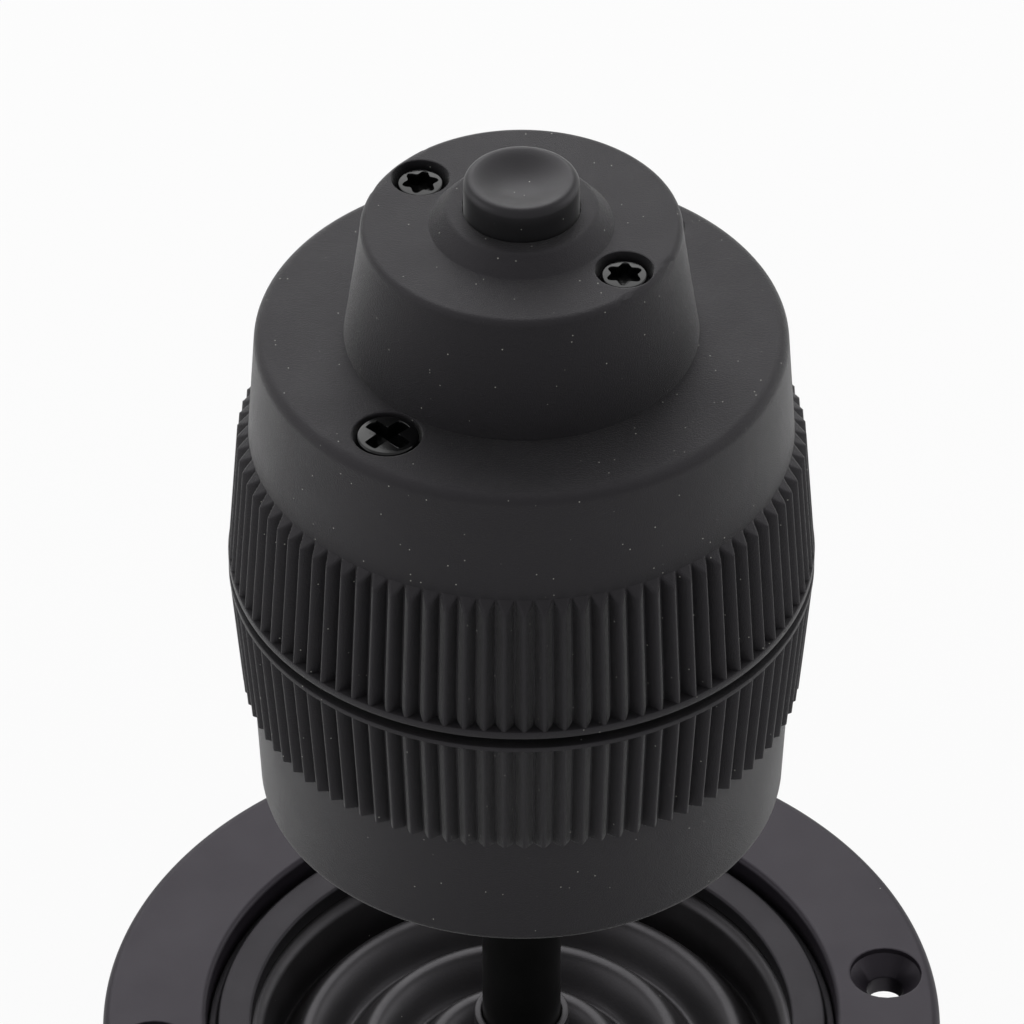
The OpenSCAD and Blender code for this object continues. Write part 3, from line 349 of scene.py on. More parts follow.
def set_hole(skin, grid, keep, angles, outline, rows, turn, circle, half, profile, face, exit_rows=None):
    """Lets a round pocket or hole into an upward face of a turned grid with columns at given angles.

    The cells inside a rectangle of the grid are left out. Rings lead from it to the hole's rim,
    blending angle and distance along the outline, so that they lie on the face; then they follow the
    hole's profile of (radius, depth), down to a point or to a like rectangle of the face beneath."""
    offset = (angles - turn + math.pi) % (2 * math.pi) - math.pi
    inside = np.flatnonzero(np.abs(offset) <= half)
    inside = inside[np.argsort(offset[inside])]

    def border(r0, r1):
        """Rows and columns round a rectangle of the grid."""
        n, step = len(inside) - 1, 1 if r1 > r0 else -1
        low, high = min(r0, r1), max(r0, r1)
        keep[np.ix_(np.arange(low, high), inside[:-1])] = False
        k = high - low
        return (np.concatenate([np.full(n, r0), np.arange(r0, r1, step), np.full(n, r1),
                                np.arange(r1, r0, -step)]),
                np.concatenate([inside[:-1], np.full(k, inside[-1]), inside[:0:-1],
                                np.full(k, inside[0])]))

    row, cell = border(*rows)
    rings = [grid[row, cell]]
    along = outline[rows[0]:rows[1] + 1]
    length = np.concatenate([[0], np.cumsum(np.linalg.norm(np.diff(along, axis=0), axis=1))])
    start_s, start_r = length[row - rows[0]], along[row - rows[0], 0]
    psi = np.arctan2(offset[cell] * circle, start_r - circle)
    order = np.argsort(along[:, 0])
    rim_u, rim_v = circle + profile[0][0] * np.cos(psi), profile[0][0] * np.sin(psi)
    away, rim_angle = np.hypot(rim_u, rim_v), np.arctan2(rim_v, rim_u)
    rim_s = np.interp(away, along[order, 0], length[order])
    rim_z = np.interp(away, along[order, 0], along[order, 1])
    for t in (0.35, 0.7, 0.92):
        s, b = start_s + (rim_s - start_s) * t, turn + offset[cell] + (rim_angle - offset[cell]) * t
        r, z = np.interp(s, length, along[:, 0]), np.interp(s, length, along[:, 1])
        rings.append(skin.add(r * np.cos(b), r * np.sin(b), z))
    for i, (radius, depth) in enumerate(profile):
        u, v = circle + radius * np.cos(psi), radius * np.sin(psi)
        level = rim_z + (face - rim_z) * min(1.0, i / 3)
        rings.append(skin.add(u * math.cos(turn) - v * math.sin(turn),
                              u * math.sin(turn) + v * math.cos(turn), level - depth))
    if exit_rows:
        row, cell = border(exit_rows[1], exit_rows[0])
        skin.sheet(np.stack(rings + [grid[row, cell]]))
    else:
        skin.sheet(np.stack(rings))
        skin.cap(rings[-1], circle * math.cos(turn), circle * math.sin(turn), face - profile[-1][1])


def ribbed(settings, rows):
    """Rows of (height, wall radius, tip radius, cut radius) round the whole knob, as angles, radii
    and heights.

    Across a rib u runs from -1 to 1 between its roots, and the rib rises by (tip - wall) times
    1 - (sqrt(u^2 + c^2) - c) / (sqrt(1 + c^2) - c): a hyperbola with a round crest, whose flanks run
    nearly straight into a narrow flat valley. A greater c makes the crest rounder. No point lies
    outside the cut radius, so that a cut that rises from the wall to the tips slopes a rib's end."""
    root, c = mm(settings, "rib_root"), settings.rib_crest
    pitch = 2 * math.pi / settings.ribs
    s = np.linspace(-1, 1, 13)
    u = np.sign(s) * np.abs(s) ** 1.3
    rise = 1 - (np.sqrt(u * u + c * c) - c) / (math.sqrt(1 + c * c) - c)
    wall_radius = reach("lower_shell")[0] - mm(settings, "rib_height")
    across = np.concatenate([[-pitch / 2], u * root / 2 / wall_radius])
    rise = np.concatenate([[0.0], rise])
    z, wall, tip, cut = (np.array(v, float)[:, None] for v in zip(*rows))
    radius = wall + np.minimum((tip - wall) * rise, cut - wall)
    angle = (across + np.arange(settings.ribs)[:, None] * pitch).ravel()
    return angle, np.tile(radius, (1, settings.ribs)), z


def plain(pairs):
    """Rows without ribs from pairs of (height, radius)."""
    return [(z, r, r, r) for z, r in pairs]


# ---- finishes ----


def add(tree, kind, links=(), **settings):
    """Adds a shader node, sets its properties and sockets by name, and links sockets into it."""
    made = tree.nodes.new("ShaderNode" + kind)
    inputs = settings.pop("inputs", {})
    for name, value in settings.items():
        setattr(made, name, value)
    for name, value in inputs.items():
        made.inputs[name].default_value = value
    for name, source in links:
        tree.links.new(source, made.inputs[name])
    return made


def cleared(owner):
    """The emptied node tree of a material or a world."""
    owner.use_nodes = True
    owner.node_tree.nodes.clear()
    return owner.node_tree


def finish(name, paint, metallic=0.0, roughness=0.5, grain=0.3, grain_depth=0.01, mottle=0.05,
           mottle_size=3.0, rough_spread=0.04, dust=0.0, specular=0.5, bloom=0.0, tint=(1.0, 1.0, 1.0),
           streak=None):
    """A material from the makings that the object's finishes share: a grain in the surface of the given
    size and depth in millimetres, patches a little lighter and darker, uneven gloss, and dust specks."""
    m = bpy.data.materials.new(name)
    tree = cleared(m)
    place = add(tree, "TexCoord").outputs["Object"]
    patches = add(tree, "TexNoise", [("Vector", place)],
                  inputs={"Scale": 1 / (mottle_size * MM), "Detail": 4.0, "Roughness": 0.6})

    def spread(middle, half):
        """A level that swings by half to either side of the middle over the patches."""
        return add(tree, "MapRange", [("Value", patches.outputs["Fac"])],
                   inputs={"From Min": 0.3, "From Max": 0.7, "To Min": middle - half,
                           "To Max": middle + half}).outputs[0]

    tone = add(tree, "Mix", [(7, spread(1, mottle))], data_type="RGBA", blend_type="MULTIPLY",
               inputs={0: 1.0, 6: (*paint, 1.0)}).outputs[2]
    if dust:
        specks = add(tree, "TexVoronoi", [("Vector", place)],
                     inputs={"Scale": 1 / (SPECK_SPACING * MM), "Randomness": 1.0})
        dots = add(tree, "MapRange", [("Value", specks.outputs["Distance"])],
                   inputs={"From Min": 0.05, "From Max": 0.1, "To Min": 1.0, "To Max": 0.0})
        lot = add(tree, "SeparateColor", [("Color", specks.outputs["Color"])])
        few = add(tree, "Math", [(0, lot.outputs[0])], operation="LESS_THAN", inputs={1: dust})
        amount = add(tree, "Math", [(0, dots.outputs[0]), (1, few.outputs[0])],
                     operation="MULTIPLY")
        tone = add(tree, "Mix", [(0, amount.outputs[0]), (6, tone)], data_type="RGBA",
                   inputs={7: (*bpy.context.scene.joystick_finish.dust, 1.0)}).outputs[2]
    if streak:
        place = add(tree, "Mapping", [("Vector", place)], inputs={"Scale": streak}).outputs[0]
    spark = add(tree, "TexNoise", [("Vector", place)],
                inputs={"Scale": 1 / (grain * MM), "Detail": 3.0, "Roughness": 0.65})
    bump = add(tree, "Bump", [("Height", spark.outputs["Fac"])],
               inputs={"Strength": 1.0, "Distance": grain_depth * MM})
    gloss = spread(roughness, rough_spread)
    levels = {"Metallic": metallic}
    if not metallic:
        levels.update({"Specular IOR Level": specular, "Specular Tint": (*tint, 1.0),
                       "Sheen Weight": bloom, "Sheen Roughness": 0.3})
    shader = add(tree, "BsdfPrincipled", [("Base Color", tone), ("Roughness", gloss),
                                          ("Normal", bump.outputs[0])], inputs=levels)
    add(tree, "OutputMaterial", [(0, shader.outputs[0])])
    return m


SPECK_SPACING = 0.72          # distance between places where a dust speck may lie, in millimetres
COOL = (0.97, 0.93, 1.0)      # tint of the highlights on black plastic and rubber
VIOLET = (0.95, 0.87, 1.0)    # tint of the highlights on dyed anodising

# Each material slot of the record: its finish's name, its paint as a hex value or a finish setting,
# and its makings
FINISHES = {
    # ABS injected into a spark-eroded mould: a fine sandy grain that spreads every highlight
    "knob_plastic": ("moulded_abs", "plastic", dict(
        grain=0.12, grain_depth=0.06, mottle=0.12, mottle_size=4.0, dust=0.22, specular=0.26, bloom=0.55,
        tint=COOL)),
    # ABS from a finer mould, rubbed smooth by thumbs: the same black with a softer, closer grain
    "button_plastic": ("thumb_polished_abs", "button", dict(
        roughness=0.42, grain=0.16, mottle=0.06, dust=0.05, specular=0.26, bloom=0.5, tint=COOL)),
    # Turned aluminium, bead-blasted and dyed black in the anodising bath: satin, faintly violet
    "anodised_aluminium": ("black_anodised_aluminium", "anodised", dict(
        roughness=0.46, grain=0.12, grain_depth=0.008, mottle_size=6.0, rough_spread=0.03, dust=0.01,
        specular=0.25, tint=VIOLET)),
    # Acetal ring turned from rod: as black as the flange, but drier
    "satin_plastic": ("turned_acetal_ring", "#101011", dict(
        grain=0.15, grain_depth=0.008, mottle_size=6.0, rough_spread=0.03, dust=0.01, specular=0.24,
        tint=VIOLET)),
    # Moulded EPDM rubber: near black, with broad soft highlights on its folds
    "boot_rubber": ("epdm_rubber", "rubber", dict(
        roughness=0.45, grain_depth=0.012, mottle=0.08, mottle_size=5.0, rough_spread=0.05, dust=0.02,
        specular=0.4, tint=COOL)),
    # Ground steel with a black oxide finish: dark, oiled and fairly bright
    "black_shaft": ("black_oxide_shaft", "shaft", dict(
        roughness=0.32, grain_depth=0.004, mottle=0.1, mottle_size=5.0, rough_spread=0.05, specular=0.3,
        streak=(1.0, 1.0, 8.0))),
    # Cold-headed steel with a black oxide finish: dark and glossy
    "black_steel": ("black_oxide_screws", "#0a0a0b", dict(
        roughness=0.16, grain=0.25, grain_depth=0.006, mottle=0.2, mottle_size=1.2, rough_spread=0.05,
        specular=0.25)),
    # Glass-filled nylon, moulded: a dry, slightly uneven black
    "housing_plastic": ("glass_filled_nylon", "housing", dict(
        roughness=0.56, grain=0.35, grain_depth=0.03, mottle=0.12, mottle_size=5.0, rough_spread=0.05,
        dust=0.01)),
    # Sintered bronze, oil-soaked: warm and slightly porous
    "bronze": ("sintered_bronze", "#9a7444", dict(
        metallic=1.0, roughness=0.42, grain=0.25, grain_depth=0.02, mottle=0.15, mottle_size=1.5,
        rough_spread=0.06)),
    # Bright zinc-plated steel
    "steel": ("zinc_plated_steel", "#b4b6b8", dict(
        metallic=1.0, roughness=0.3, grain=0.4, grain_depth=0.006, mottle=0.06, mottle_size=2.0,
        rough_spread=0.06)),
    # Pins ground between centreless wheels: bright, with hardly any lay
    "ground_steel": ("centreless_ground_steel", "#c4c6c8", dict(
        metallic=1.0, roughness=0.2, grain=0.15, grain_depth=0.003, mottle=0.04)),
    # Music wire pulled through dies: a dull grey gleam
    "spring_steel": ("music_wire", "#8f9194", dict(
        metallic=1.0, roughness=0.28, grain=0.2, grain_depth=0.003, mottle=0.08, rough_spread=0.06)),
    # Pressure-cast zinc, tumbled: grey with a soft skin
    "cast_zinc": ("die_cast_zinc", "#8b8d90", dict(
        metallic=1.0, roughness=0.46, grain=0.5, grain_depth=0.015, mottle=0.1, rough_spread=0.07)),
    # Glass-epoxy laminate under green solder mask: glossy over a faint weave
    "circuit_board": ("solder_masked_board", "#1f5a34", dict(roughness=0.32, grain=0.6, mottle=0.1)),
    # Transfer-moulded epoxy of a chip: dull and very fine
    "chip_plastic": ("chip_epoxy", "#1c1c1d", dict(
        roughness=0.6, grain=0.1, grain_depth=0.008, rough_spread=0.03)),
    # Gold-flashed brass contacts
    "contact_brass": ("gold_flashed_brass", "#d9b25c", dict(
        metallic=1.0, roughness=0.22, grain=0.2, grain_depth=0.003)),
    # Nickel-plated sintered magnet
    "magnet_nickel": ("nickel_plate", "#bdbbb4", dict(
        metallic=1.0, roughness=0.2, grain_depth=0.003, mottle=0.04)),
    # Plain moulded acetal inside the knob
    "inner_plastic": ("moulded_acetal", "#2a2a2c", dict(
        roughness=0.42, grain=0.4, grain_depth=0.012, mottle=0.06)),
    # White acetal plunger of the switch
    "switch_acetal": ("white_acetal", "#d8d6cc", dict(
        roughness=0.4, grain=0.4, grain_depth=0.008, mottle=0.03)),
}


def dressed(slot):
    """The material of a slot of the record, made when it is first asked for."""
    name, paint, makings = FINISHES[slot]
    settings = bpy.context.scene.joystick_finish
    return bpy.data.materials.get(name) or finish(
        name, linear(paint) if paint.startswith("#") else getattr(settings, paint), **makings)


def settle(skin, name, body, slot, *nodes):
    """Makes a skin a piece in its slot's finish, puts it on its body, and lets it stand for CAD nodes."""
    piece = skin.piece(name, dressed(slot))
    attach(piece, body)
    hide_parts(*nodes)


# ---- pieces ----


def opposite(settings):
    """Angles of the two screws that face each other across the axis."""
    return settings.screw_turn, settings.screw_turn + math.pi


def pocketed(skin, grid, angles, outline, rows, settings, face, margin, lip):
    """The faces of a turned grid with two counterbores: a rounded lip, a straight wall, a flat floor."""
    circle, radius, depth = mm(settings, "screw_circle", "pocket_radius", "pocket_depth")
    profile = [(radius + lip, 0.0), (radius + 0.3 * lip, 0.3 * lip), (radius, lip), (radius, 0.5 * depth),
               (radius, depth - 0.1), (radius - 0.1, depth), (0.5 * radius, depth)]
    keep = np.ones(grid.shape, bool)
    for turn in opposite(settings):
        set_hole(skin, grid, keep, angles, outline, rows, turn, circle, (radius + margin) / circle,
                 profile, face)
    skin.sheet(grid, along=True, keep=keep)


class JOYSTICK_OT_flange(bpy.types.Operator):
    """Builds the round mounting flange with its countersunk screw holes"""
    bl_idname = "joystick.flange"
    bl_label = "Flange"

    def execute(self, context):
        s = context.scene.joystick_panel
        edge, foot, throat, lip, spigot, ledge, depth = mm(
            s, "edge_radius", "foot_edge", "throat_radius", "lip_radius", "spigot_radius",
            "ledge_radius", "ledge_depth")
        outer, bottom, top = reach("flange")
        margin, cells = 0.05, 8
        inner_face, outer_face = throat + lip + margin, outer - edge - margin
        under_in, under_out = spigot + 0.15, outer - foot - 0.1
        upper = [(r, top) for r in np.linspace(outer_face, inner_face, cells + 1)]
        under = [(r, 0.0) for r in np.linspace(under_in, under_out, cells + 1)]
        start = [[ledge, bottom], [spigot - 0.2, bottom], [spigot, bottom + 0.2], [spigot, 0.0]]
        side = [[outer - foot, 0.0], [outer, foot], [outer, foot + 0.1]]
        rounded = arc(outer - edge, top - edge, edge, 0, 90, 7)
        throat_edge = arc(throat + lip, top - lip, lip, 90, 180, 5)
        outline = np.concatenate([start, under, side, rounded, upper, throat_edge,
                                  [[throat, top - depth], [ledge, top - depth]]])
        first_under = len(start)
        first_upper = first_under + len(under) + len(side) + len(rounded)
        circle, hole, sink = mm(s, "hole_circle", "hole_radius", "sink_radius")
        cone = sink - hole + 0.5
        profile = [(sink + 0.12, 0.0), (sink + 0.03, 0.04), (sink, 0.14), (sink - 0.02, 0.5),
                   (hole + 0.04, cone), (hole, cone + 0.15), (hole, top - 0.3), (hole, top - 0.12),
                   (hole + 0.1, top)]
        skin = Skin()
        grid, angles = wheel(skin, outline, columns=720)
        keep = np.ones(grid.shape, bool)
        for i in range(s.hole_count):
            set_hole(skin, grid, keep, angles, outline, (first_upper, first_upper + cells),
                     2 * math.pi * i / s.hole_count, circle, (sink + 0.75) / circle, profile, top,
                     (first_under, first_under + cells))
        skin.sheet(grid, along=True, keep=keep)
        settle(skin, "flange_skin", "fixed_base", "anodised_aluminium", "flange")
        return {"FINISHED"}


class JOYSTICK_OT_clamp_ring(bpy.types.Operator):
    """Builds the ring that clamps the boot in the flange's throat"""
    bl_idname = "joystick.clamp_ring"
    bl_label = "Clamp ring"

    def execute(self, context):
        s = context.scene.joystick_panel
        throat, width, gap, foot = mm(s, "throat_radius", "ring_width", "ring_gap", "ring_foot")
        outer, foot_r = throat - gap, throat - PRESS_FIT
        _, bottom, top = reach("boot_clamp_ring")
        outline = softened([[outer - width, bottom], [foot_r, bottom], [foot_r, bottom + foot],
                            [outer, bottom + foot], [outer, top], [outer - width, top]], 0.35, 4)
        settle(turned(densified(outline, 0.8), columns=360), "clamp_ring_skin", "fixed_base",
               "satin_plastic", "boot_clamp_ring")
        return {"FINISHED"}


class JOYSTICK_OT_boot(bpy.types.Operator):
    """Builds the folded boot as two rings of skin that meet on a crest"""
    bl_idname = "joystick.boot"
    bl_label = "Boot"

    def execute(self, context):
        s = context.scene.joystick_boot
        panel = context.scene.joystick_panel
        wall, drop, height, pitch, first, bead, neck = mm(
            s, "wall", "crest_drop", "fold_height", "fold_pitch", "first_crest", "bead", "neck_wall")
        throat, ledge, width, gap = mm(panel, "throat_radius", "ledge_radius", "ring_width", "ring_gap")
        crest = reach("flange")[2] - drop
        neck_in = reach("lever_shaft")[0] + SHAFT_FIT
        neck_out, top = neck_in + neck, reach("boot")[2]
        web, seam = first + 2.5 * pitch, first + pitch
        held = reach("boot_clamp_ring")[1]
        hollow = 2.6    # the power that broadens the crests and narrows the valleys

        def folds(radius):
            """The upper skin's height, crest - height |sin(pi (r - first) / pitch)|^hollow, and slope."""
            phase = math.pi * (radius - first) / pitch
            wave = np.abs(np.sin(phase))
            return (crest - height * wave ** hollow,
                    -hollow * height * math.pi / pitch * wave ** (hollow - 1) * np.cos(phase)
                    * np.sign(np.sin(phase)))

        def skins(low, high, steps=64):
            """Upper and lower skin between two radii, a wall's thickness apart along the normal."""
            r = np.linspace(low, high, steps)
            z, slope = folds(r)
            long = np.hypot(1, slope)
            inside = np.clip(r + wall * slope / long, low, high)
            return np.stack([r, z], -1), np.stack([inside, z - wall / long], -1)

        def fold_piece(name, outline):
            """One ring of the boot, turned from its outline in the rubber's finish with its place baked
            into its points; the CAD boot is hidden."""
            piece = turned(outline, columns=288).piece(name, dressed("boot_rubber"), math.radians(60))
            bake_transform(piece)
            points = np.empty(len(piece.data.vertices) * 3, np.float32)
            piece.data.vertices.foreach_get("co", points)
            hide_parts("boot")

        upper, lower = skins(seam, web)
        bead_in, bead_out, bead_top = ledge - 0.1, throat - 0.2, held - PRESS_FIT
        rim = [[bead_in, lower[-1, 1]], [bead_in, held - bead], [bead_out, held - bead],
               [bead_out, bead_top]]
        shoulder = softened([[throat - gap - width - 0.1, bead_top], [web + 0.85, held - 0.6],
                             [web + 0.2, upper[-1, 1] + 1.2], upper[-1]], 0.6, 4, closed=False)
        fold_piece("boot_outer_folds", np.concatenate([lower, rim, shoulder, upper[-2::-1]]))
        upper, lower = skins(neck_out, seam)
        rise = softened([upper[2], [neck_out, upper[0, 1]], [neck_out, top], [neck_in, top],
                         [neck_in, lower[0, 1]]], 0.22, 3, closed=False)
        fold_piece("boot_inner_folds", np.concatenate([lower, upper[:2:-1], rise]))
        return {"FINISHED"}


class JOYSTICK_OT_shaft(bpy.types.Operator):
    """Builds the lever's shaft"""
    bl_idname = "joystick.shaft"
    bl_label = "Shaft"

    def execute(self, context):
        radius, low, high = reach("lever_shaft")
        step, spindle, bore, magnet = reach("lower_shell")[1] + 1.0, 3.0, 1.7, 2.52
        outline = softened([[magnet, low], [radius, low], [radius, step], [spindle, step],
                            [spindle, high], [bore, high], [bore, low + 6.0], [magnet, low + 2.4]],
                           0.25, 2)
        settle(turned(densified(outline, 4.0), columns=96), "shaft_skin", "lever", "black_shaft",
               "lever_shaft")
        return {"FINISHED"}


class JOYSTICK_OT_lower_shell(bpy.types.Operator):
    """Builds the knob's lower shell with its band of ribs"""
    bl_idname = "joystick.lower_shell"
    bl_label = "Lower shell"

    def execute(self, context):
        s = context.scene.joystick_knob
        rib, bevel, foot, edge, skirt, rim, wall = mm(
            s, "rib_height", "lower_bevel", "foot_radius", "foot_edge", "skirt", "lower_rim", "wall")
        grip, low, high = reach("lower_shell")
        start, stop = low + skirt, high - rim
        tip_low = grip - s.lower_taper * (high - start)
        wall_low, wall_high = tip_low - rib + 0.15, grip - rib
        rows = plain([(low, foot - edge - 3.0), (low, foot - edge - 0.3)])
        rows += plain(arc(foot - edge, low + edge, edge, -90, -3, 6)[:, ::-1])
        z = np.linspace(low + edge + 0.2, start - 0.03, 9)
        rows += plain(zip(z, np.interp(z, [low + edge, start], [foot, wall_low])))
        z = np.concatenate([start + bevel * np.array([0, 0.3, 0.65, 1.0]),
                            np.linspace(start + bevel + 0.3, stop, 9)])
        rows += zip(z, np.interp(z, [start, stop], [wall_low, wall_high]),
                    np.interp(z, [start, stop], [tip_low, grip - 0.02]),
                    np.interp(z, [start, start + bevel, stop], [wall_low, tip_low, grip]))
        rows += plain([(stop + 0.02, grip - 0.06), (stop + 0.07, grip), (high - 0.1, grip),
                       (high - 0.03, grip - 0.03), (high, grip - 0.1), (high, grip - 0.6)])
        deck_r, deck, _ = reach("twist_deck")
        recess, inner, shaft = deck_r + 0.1, foot - wall, reach("lever_shaft")[0] + SHAFT_FIT
        floor, boss, boss_r, spindle = low + 2.5, low + 12.5, 7.0, 3.05
        rows += plain([(high, recess + 0.1), (high - 0.1, recess), (deck, recess), (deck, inner),
                       (floor, inner), (floor, boss_r), (boss, boss_r), (boss, spindle),
                       (low + 1.0, spindle), (low + 1.0, shaft), (low, shaft), (low, 12.0)])
        angle, radius, z = ribbed(s, rows)
        skin = Skin()
        skin.sheet(skin.add(radius * np.sin(angle), -radius * np.cos(angle), z), along=True)
        settle(skin, "lower_shell_skin", "lever", "knob_plastic", "lower_shell")
        return {"FINISHED"}


class JOYSTICK_OT_upper_shell(bpy.types.Operator):
    """Builds the knob's upper shell with its band of ribs, its shoulder and its screw pockets"""
    bl_idname = "joystick.upper_shell"
    bl_label = "Upper shell"

    def execute(self, context):
        s = context.scene.joystick_knob
        rib, bevel, rim, band, shoulder, edge, roof, shell, bore = mm(
            s, "rib_height", "upper_bevel", "upper_rim", "upper_band", "shoulder_radius",
            "shoulder_edge", "roof", "wall", "bore_radius")
        grip, low, high = reach("upper_shell")
        carrier_r, carrier, _ = reach("carrier")
        start, stop = low + rim, low + band
        tip_high = grip - s.upper_taper * band
        wall_low, wall_high = grip - rib, tip_high - rib + 0.1
        recess = carrier_r + 0.1
        rows = plain([(low, recess), (low, grip - 0.7), (low, grip - 0.12), (low + 0.04, grip - 0.03),
                      (low + 0.11, grip), (start - 0.12, grip), (start - 0.03, grip - 0.04),
                      (start, grip - 0.1)])
        z = np.concatenate([np.linspace(start + 0.02, stop - bevel - 0.5, 11),
                            np.linspace(stop - bevel, stop, 6)])
        tips = [start, stop], [grip - 0.04, tip_high]
        at_bevel = np.interp(stop - bevel, *tips)
        rows += zip(z, np.interp(z, [start, stop], [wall_low, wall_high]), np.interp(z, *tips),
                    np.interp(z, [start, stop - bevel, stop], [grip, at_bevel, wall_high]))
        z = np.linspace(stop + 0.05, high - edge - 0.2, 8)
        rows += plain(zip(z, np.interp(z, [stop, high - edge], [wall_high, shoulder])))
        rows += plain(arc(shoulder - edge, high - edge, edge, 2, 90, 7)[:, ::-1])
        first = len(rows)
        under_turret, carrier_deck, draft = 12.6, 2.4, 0.15
        rows += plain([(high, r) for r in np.linspace(shoulder - edge - 0.1, under_turret, 12)])
        last = len(rows) - 1
        carrier_top, inner = carrier + carrier_deck, shoulder - shell + draft
        rows += plain([(high, bore), (high - roof, bore), (high - roof, inner), (carrier_top, inner),
                       (carrier_top, recess)])
        angle, radius, z = ribbed(s, rows)
        skin = Skin()
        grid = skin.add(radius * np.sin(angle), -radius * np.cos(angle), z)
        pocketed(skin, grid, angle - math.pi / 2, np.stack([radius[:, 0], z[:, 0]], -1), (first, last), s,
                 high, margin=1.0, lip=0.13)
        settle(skin, "upper_shell_skin", "twist_knob", "knob_plastic", "upper_shell")
        return {"FINISHED"}


class JOYSTICK_OT_turret(bpy.types.Operator):
    """Builds the turret with its flared foot, its collar and its screw pockets"""
    bl_idname = "joystick.turret"
    bl_label = "Turret"

    def execute(self, context):
        s = context.scene.joystick_turret
        top_r, edge, collar, collar_foot, collar_top, bore = mm(
            s, "top_radius", "edge_radius", "collar_height", "collar_foot", "collar_top", "bore_radius")
        foot, low, high = reach("turret")
        face = high - collar
        t, bend = np.linspace(0, 1, 22), 1.1    # bend hollows the flare
        flare = np.stack([top_r + (foot - top_r) * (1 - t) ** bend, low + (face - edge - low) * t], -1)
        rounded = arc(top_r - edge, face - edge, edge, 6, 90, 8)
        flat = np.stack([np.linspace(top_r - edge - 0.06, collar_foot + 0.2, 12), np.full(12, face)], -1)
        wall, roof = 2.0, 2.6
        inside, ceiling = top_r - wall, face - roof
        hood = softened([[collar_foot + 0.2, face], [collar_foot, face], [collar_top, high],
                         [bore + 0.02, high], [bore, high - 0.02], [bore, ceiling]],
                        0.3, 4, closed=False)[1:]
        outline = np.concatenate([flare, rounded, flat, hood, [[inside, ceiling], [inside, low]]])
        skin = Skin()
        grid, angles = wheel(skin, outline, columns=480)
        first = len(flare) - 1
        pocketed(skin, grid, angles, outline, (first, first + len(rounded) + len(flat)), s, face,
                 margin=0.8, lip=0.1)
        settle(skin, "turret_skin", "twist_knob", "knob_plastic", "turret")
        return {"FINISHED"}


class JOYSTICK_OT_button(bpy.types.Operator):
    """Builds the dished push button"""
    bl_idname = "joystick.button"
    bl_label = "Button"

    def execute(self, context):
        s = context.scene.joystick_turret
        radius, edge, dish = mm(s, "button_radius", "button_edge", "dish_depth")
        flange, low, high = reach("button_cap")
        low += 0.06    # room for the spring's last turn
        rounded = arc(radius - edge, high - edge, edge, 3, 90, 8)
        rim = radius - edge
        t, bend = np.linspace(0.97, 0, 16), 1.5    # bend makes the dish's sides steeper than a parabola's
        bowl = np.stack([rim * t, high - dish * (1 - t * t) ** bend], -1)
        bevel, step, socket = 0.15, low + 1.2, 1.7
        foot = [[0, low], [socket, low], [flange - bevel, low], [flange, low + bevel],
                [flange, step - bevel], [flange - bevel, step], [radius, step]]
        outline = np.concatenate([foot, rounded, bowl])
        settle(turned(densified(outline, 0.9, closed=False), columns=128, closed=False), "button_skin",
               "button", "button_plastic", "button_cap")
        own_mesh(frame["nodes"]["button_spring"])
        return {"FINISHED"}


def screw_head(skin, turn, circle, seat, radius, height, contour, recess, drive, shank, length=8.0):
    """A pan-head screw on a vertical axis at an angle of a circle: rings inside the recess follow its
    contour, a radius for each angle, and rings outside it run from the contour to the round head."""
    centre = circle * math.cos(turn), circle * math.sin(turn)
    columns = 144
    a = np.arange(columns) * 2 * math.pi / columns
    mouth = contour(a - drive)
    crown, soft = 0.07 * height, 0.14 * height
    top, wide = seat + height, radius - soft

    def dome(r):
        """Height of the slightly domed head at a radius."""
        return top - crown * (r / radius) ** 2

    rings = [(shank * 0.7, seat - length), (shank, seat - length + 0.3), (shank, seat),
             (radius * 0.97, seat), (radius, seat + 0.06)]
    rings += [(wide + soft * np.cos(b), dome(wide) - soft * (1 - np.sin(b)))
              for b in np.radians(np.linspace(0, 90, 6))]
    slopes = [wide + (mouth + 0.05 - wide) * t for t in (0.4, 0.75, 0.94)]
    rings += [(r, dome(r)) for r in slopes]
    rings += [(mouth + 0.05, dome(mouth)), (mouth, dome(mouth) - 0.06),
              (mouth * 0.97, top - recess * 0.6), (mouth * 0.94, top - recess),
              (mouth * 0.5, top - recess - 0.05)]
    grid = np.stack([skin.add(centre[0] + r * np.cos(a), centre[1] + r * np.sin(a), z) for r, z in rings])
    skin.sheet(grid)
    skin.cap(grid[-1], *centre, top - recess - 0.1)
    skin.cap(grid[0, ::-1], *centre, seat - length)


def star_contour(radius):
    """Six round lobes: the radius swings between 1 and 0.72 of the lobes' reach."""
    return lambda a: radius * (0.86 + 0.14 * np.cos(6 * a))


def cross_contour(reach, width):
    """A cross with rounded inner corners: the distance to the nearer of two crossed bars' outline."""
    def contour(a):
        c, s = np.abs(np.cos(a)) + 1e-6, np.abs(np.sin(a)) + 1e-6
        bar = np.minimum(reach / np.maximum(c, s), width / np.minimum(c, s))
        return np.minimum(bar, reach)
    return contour


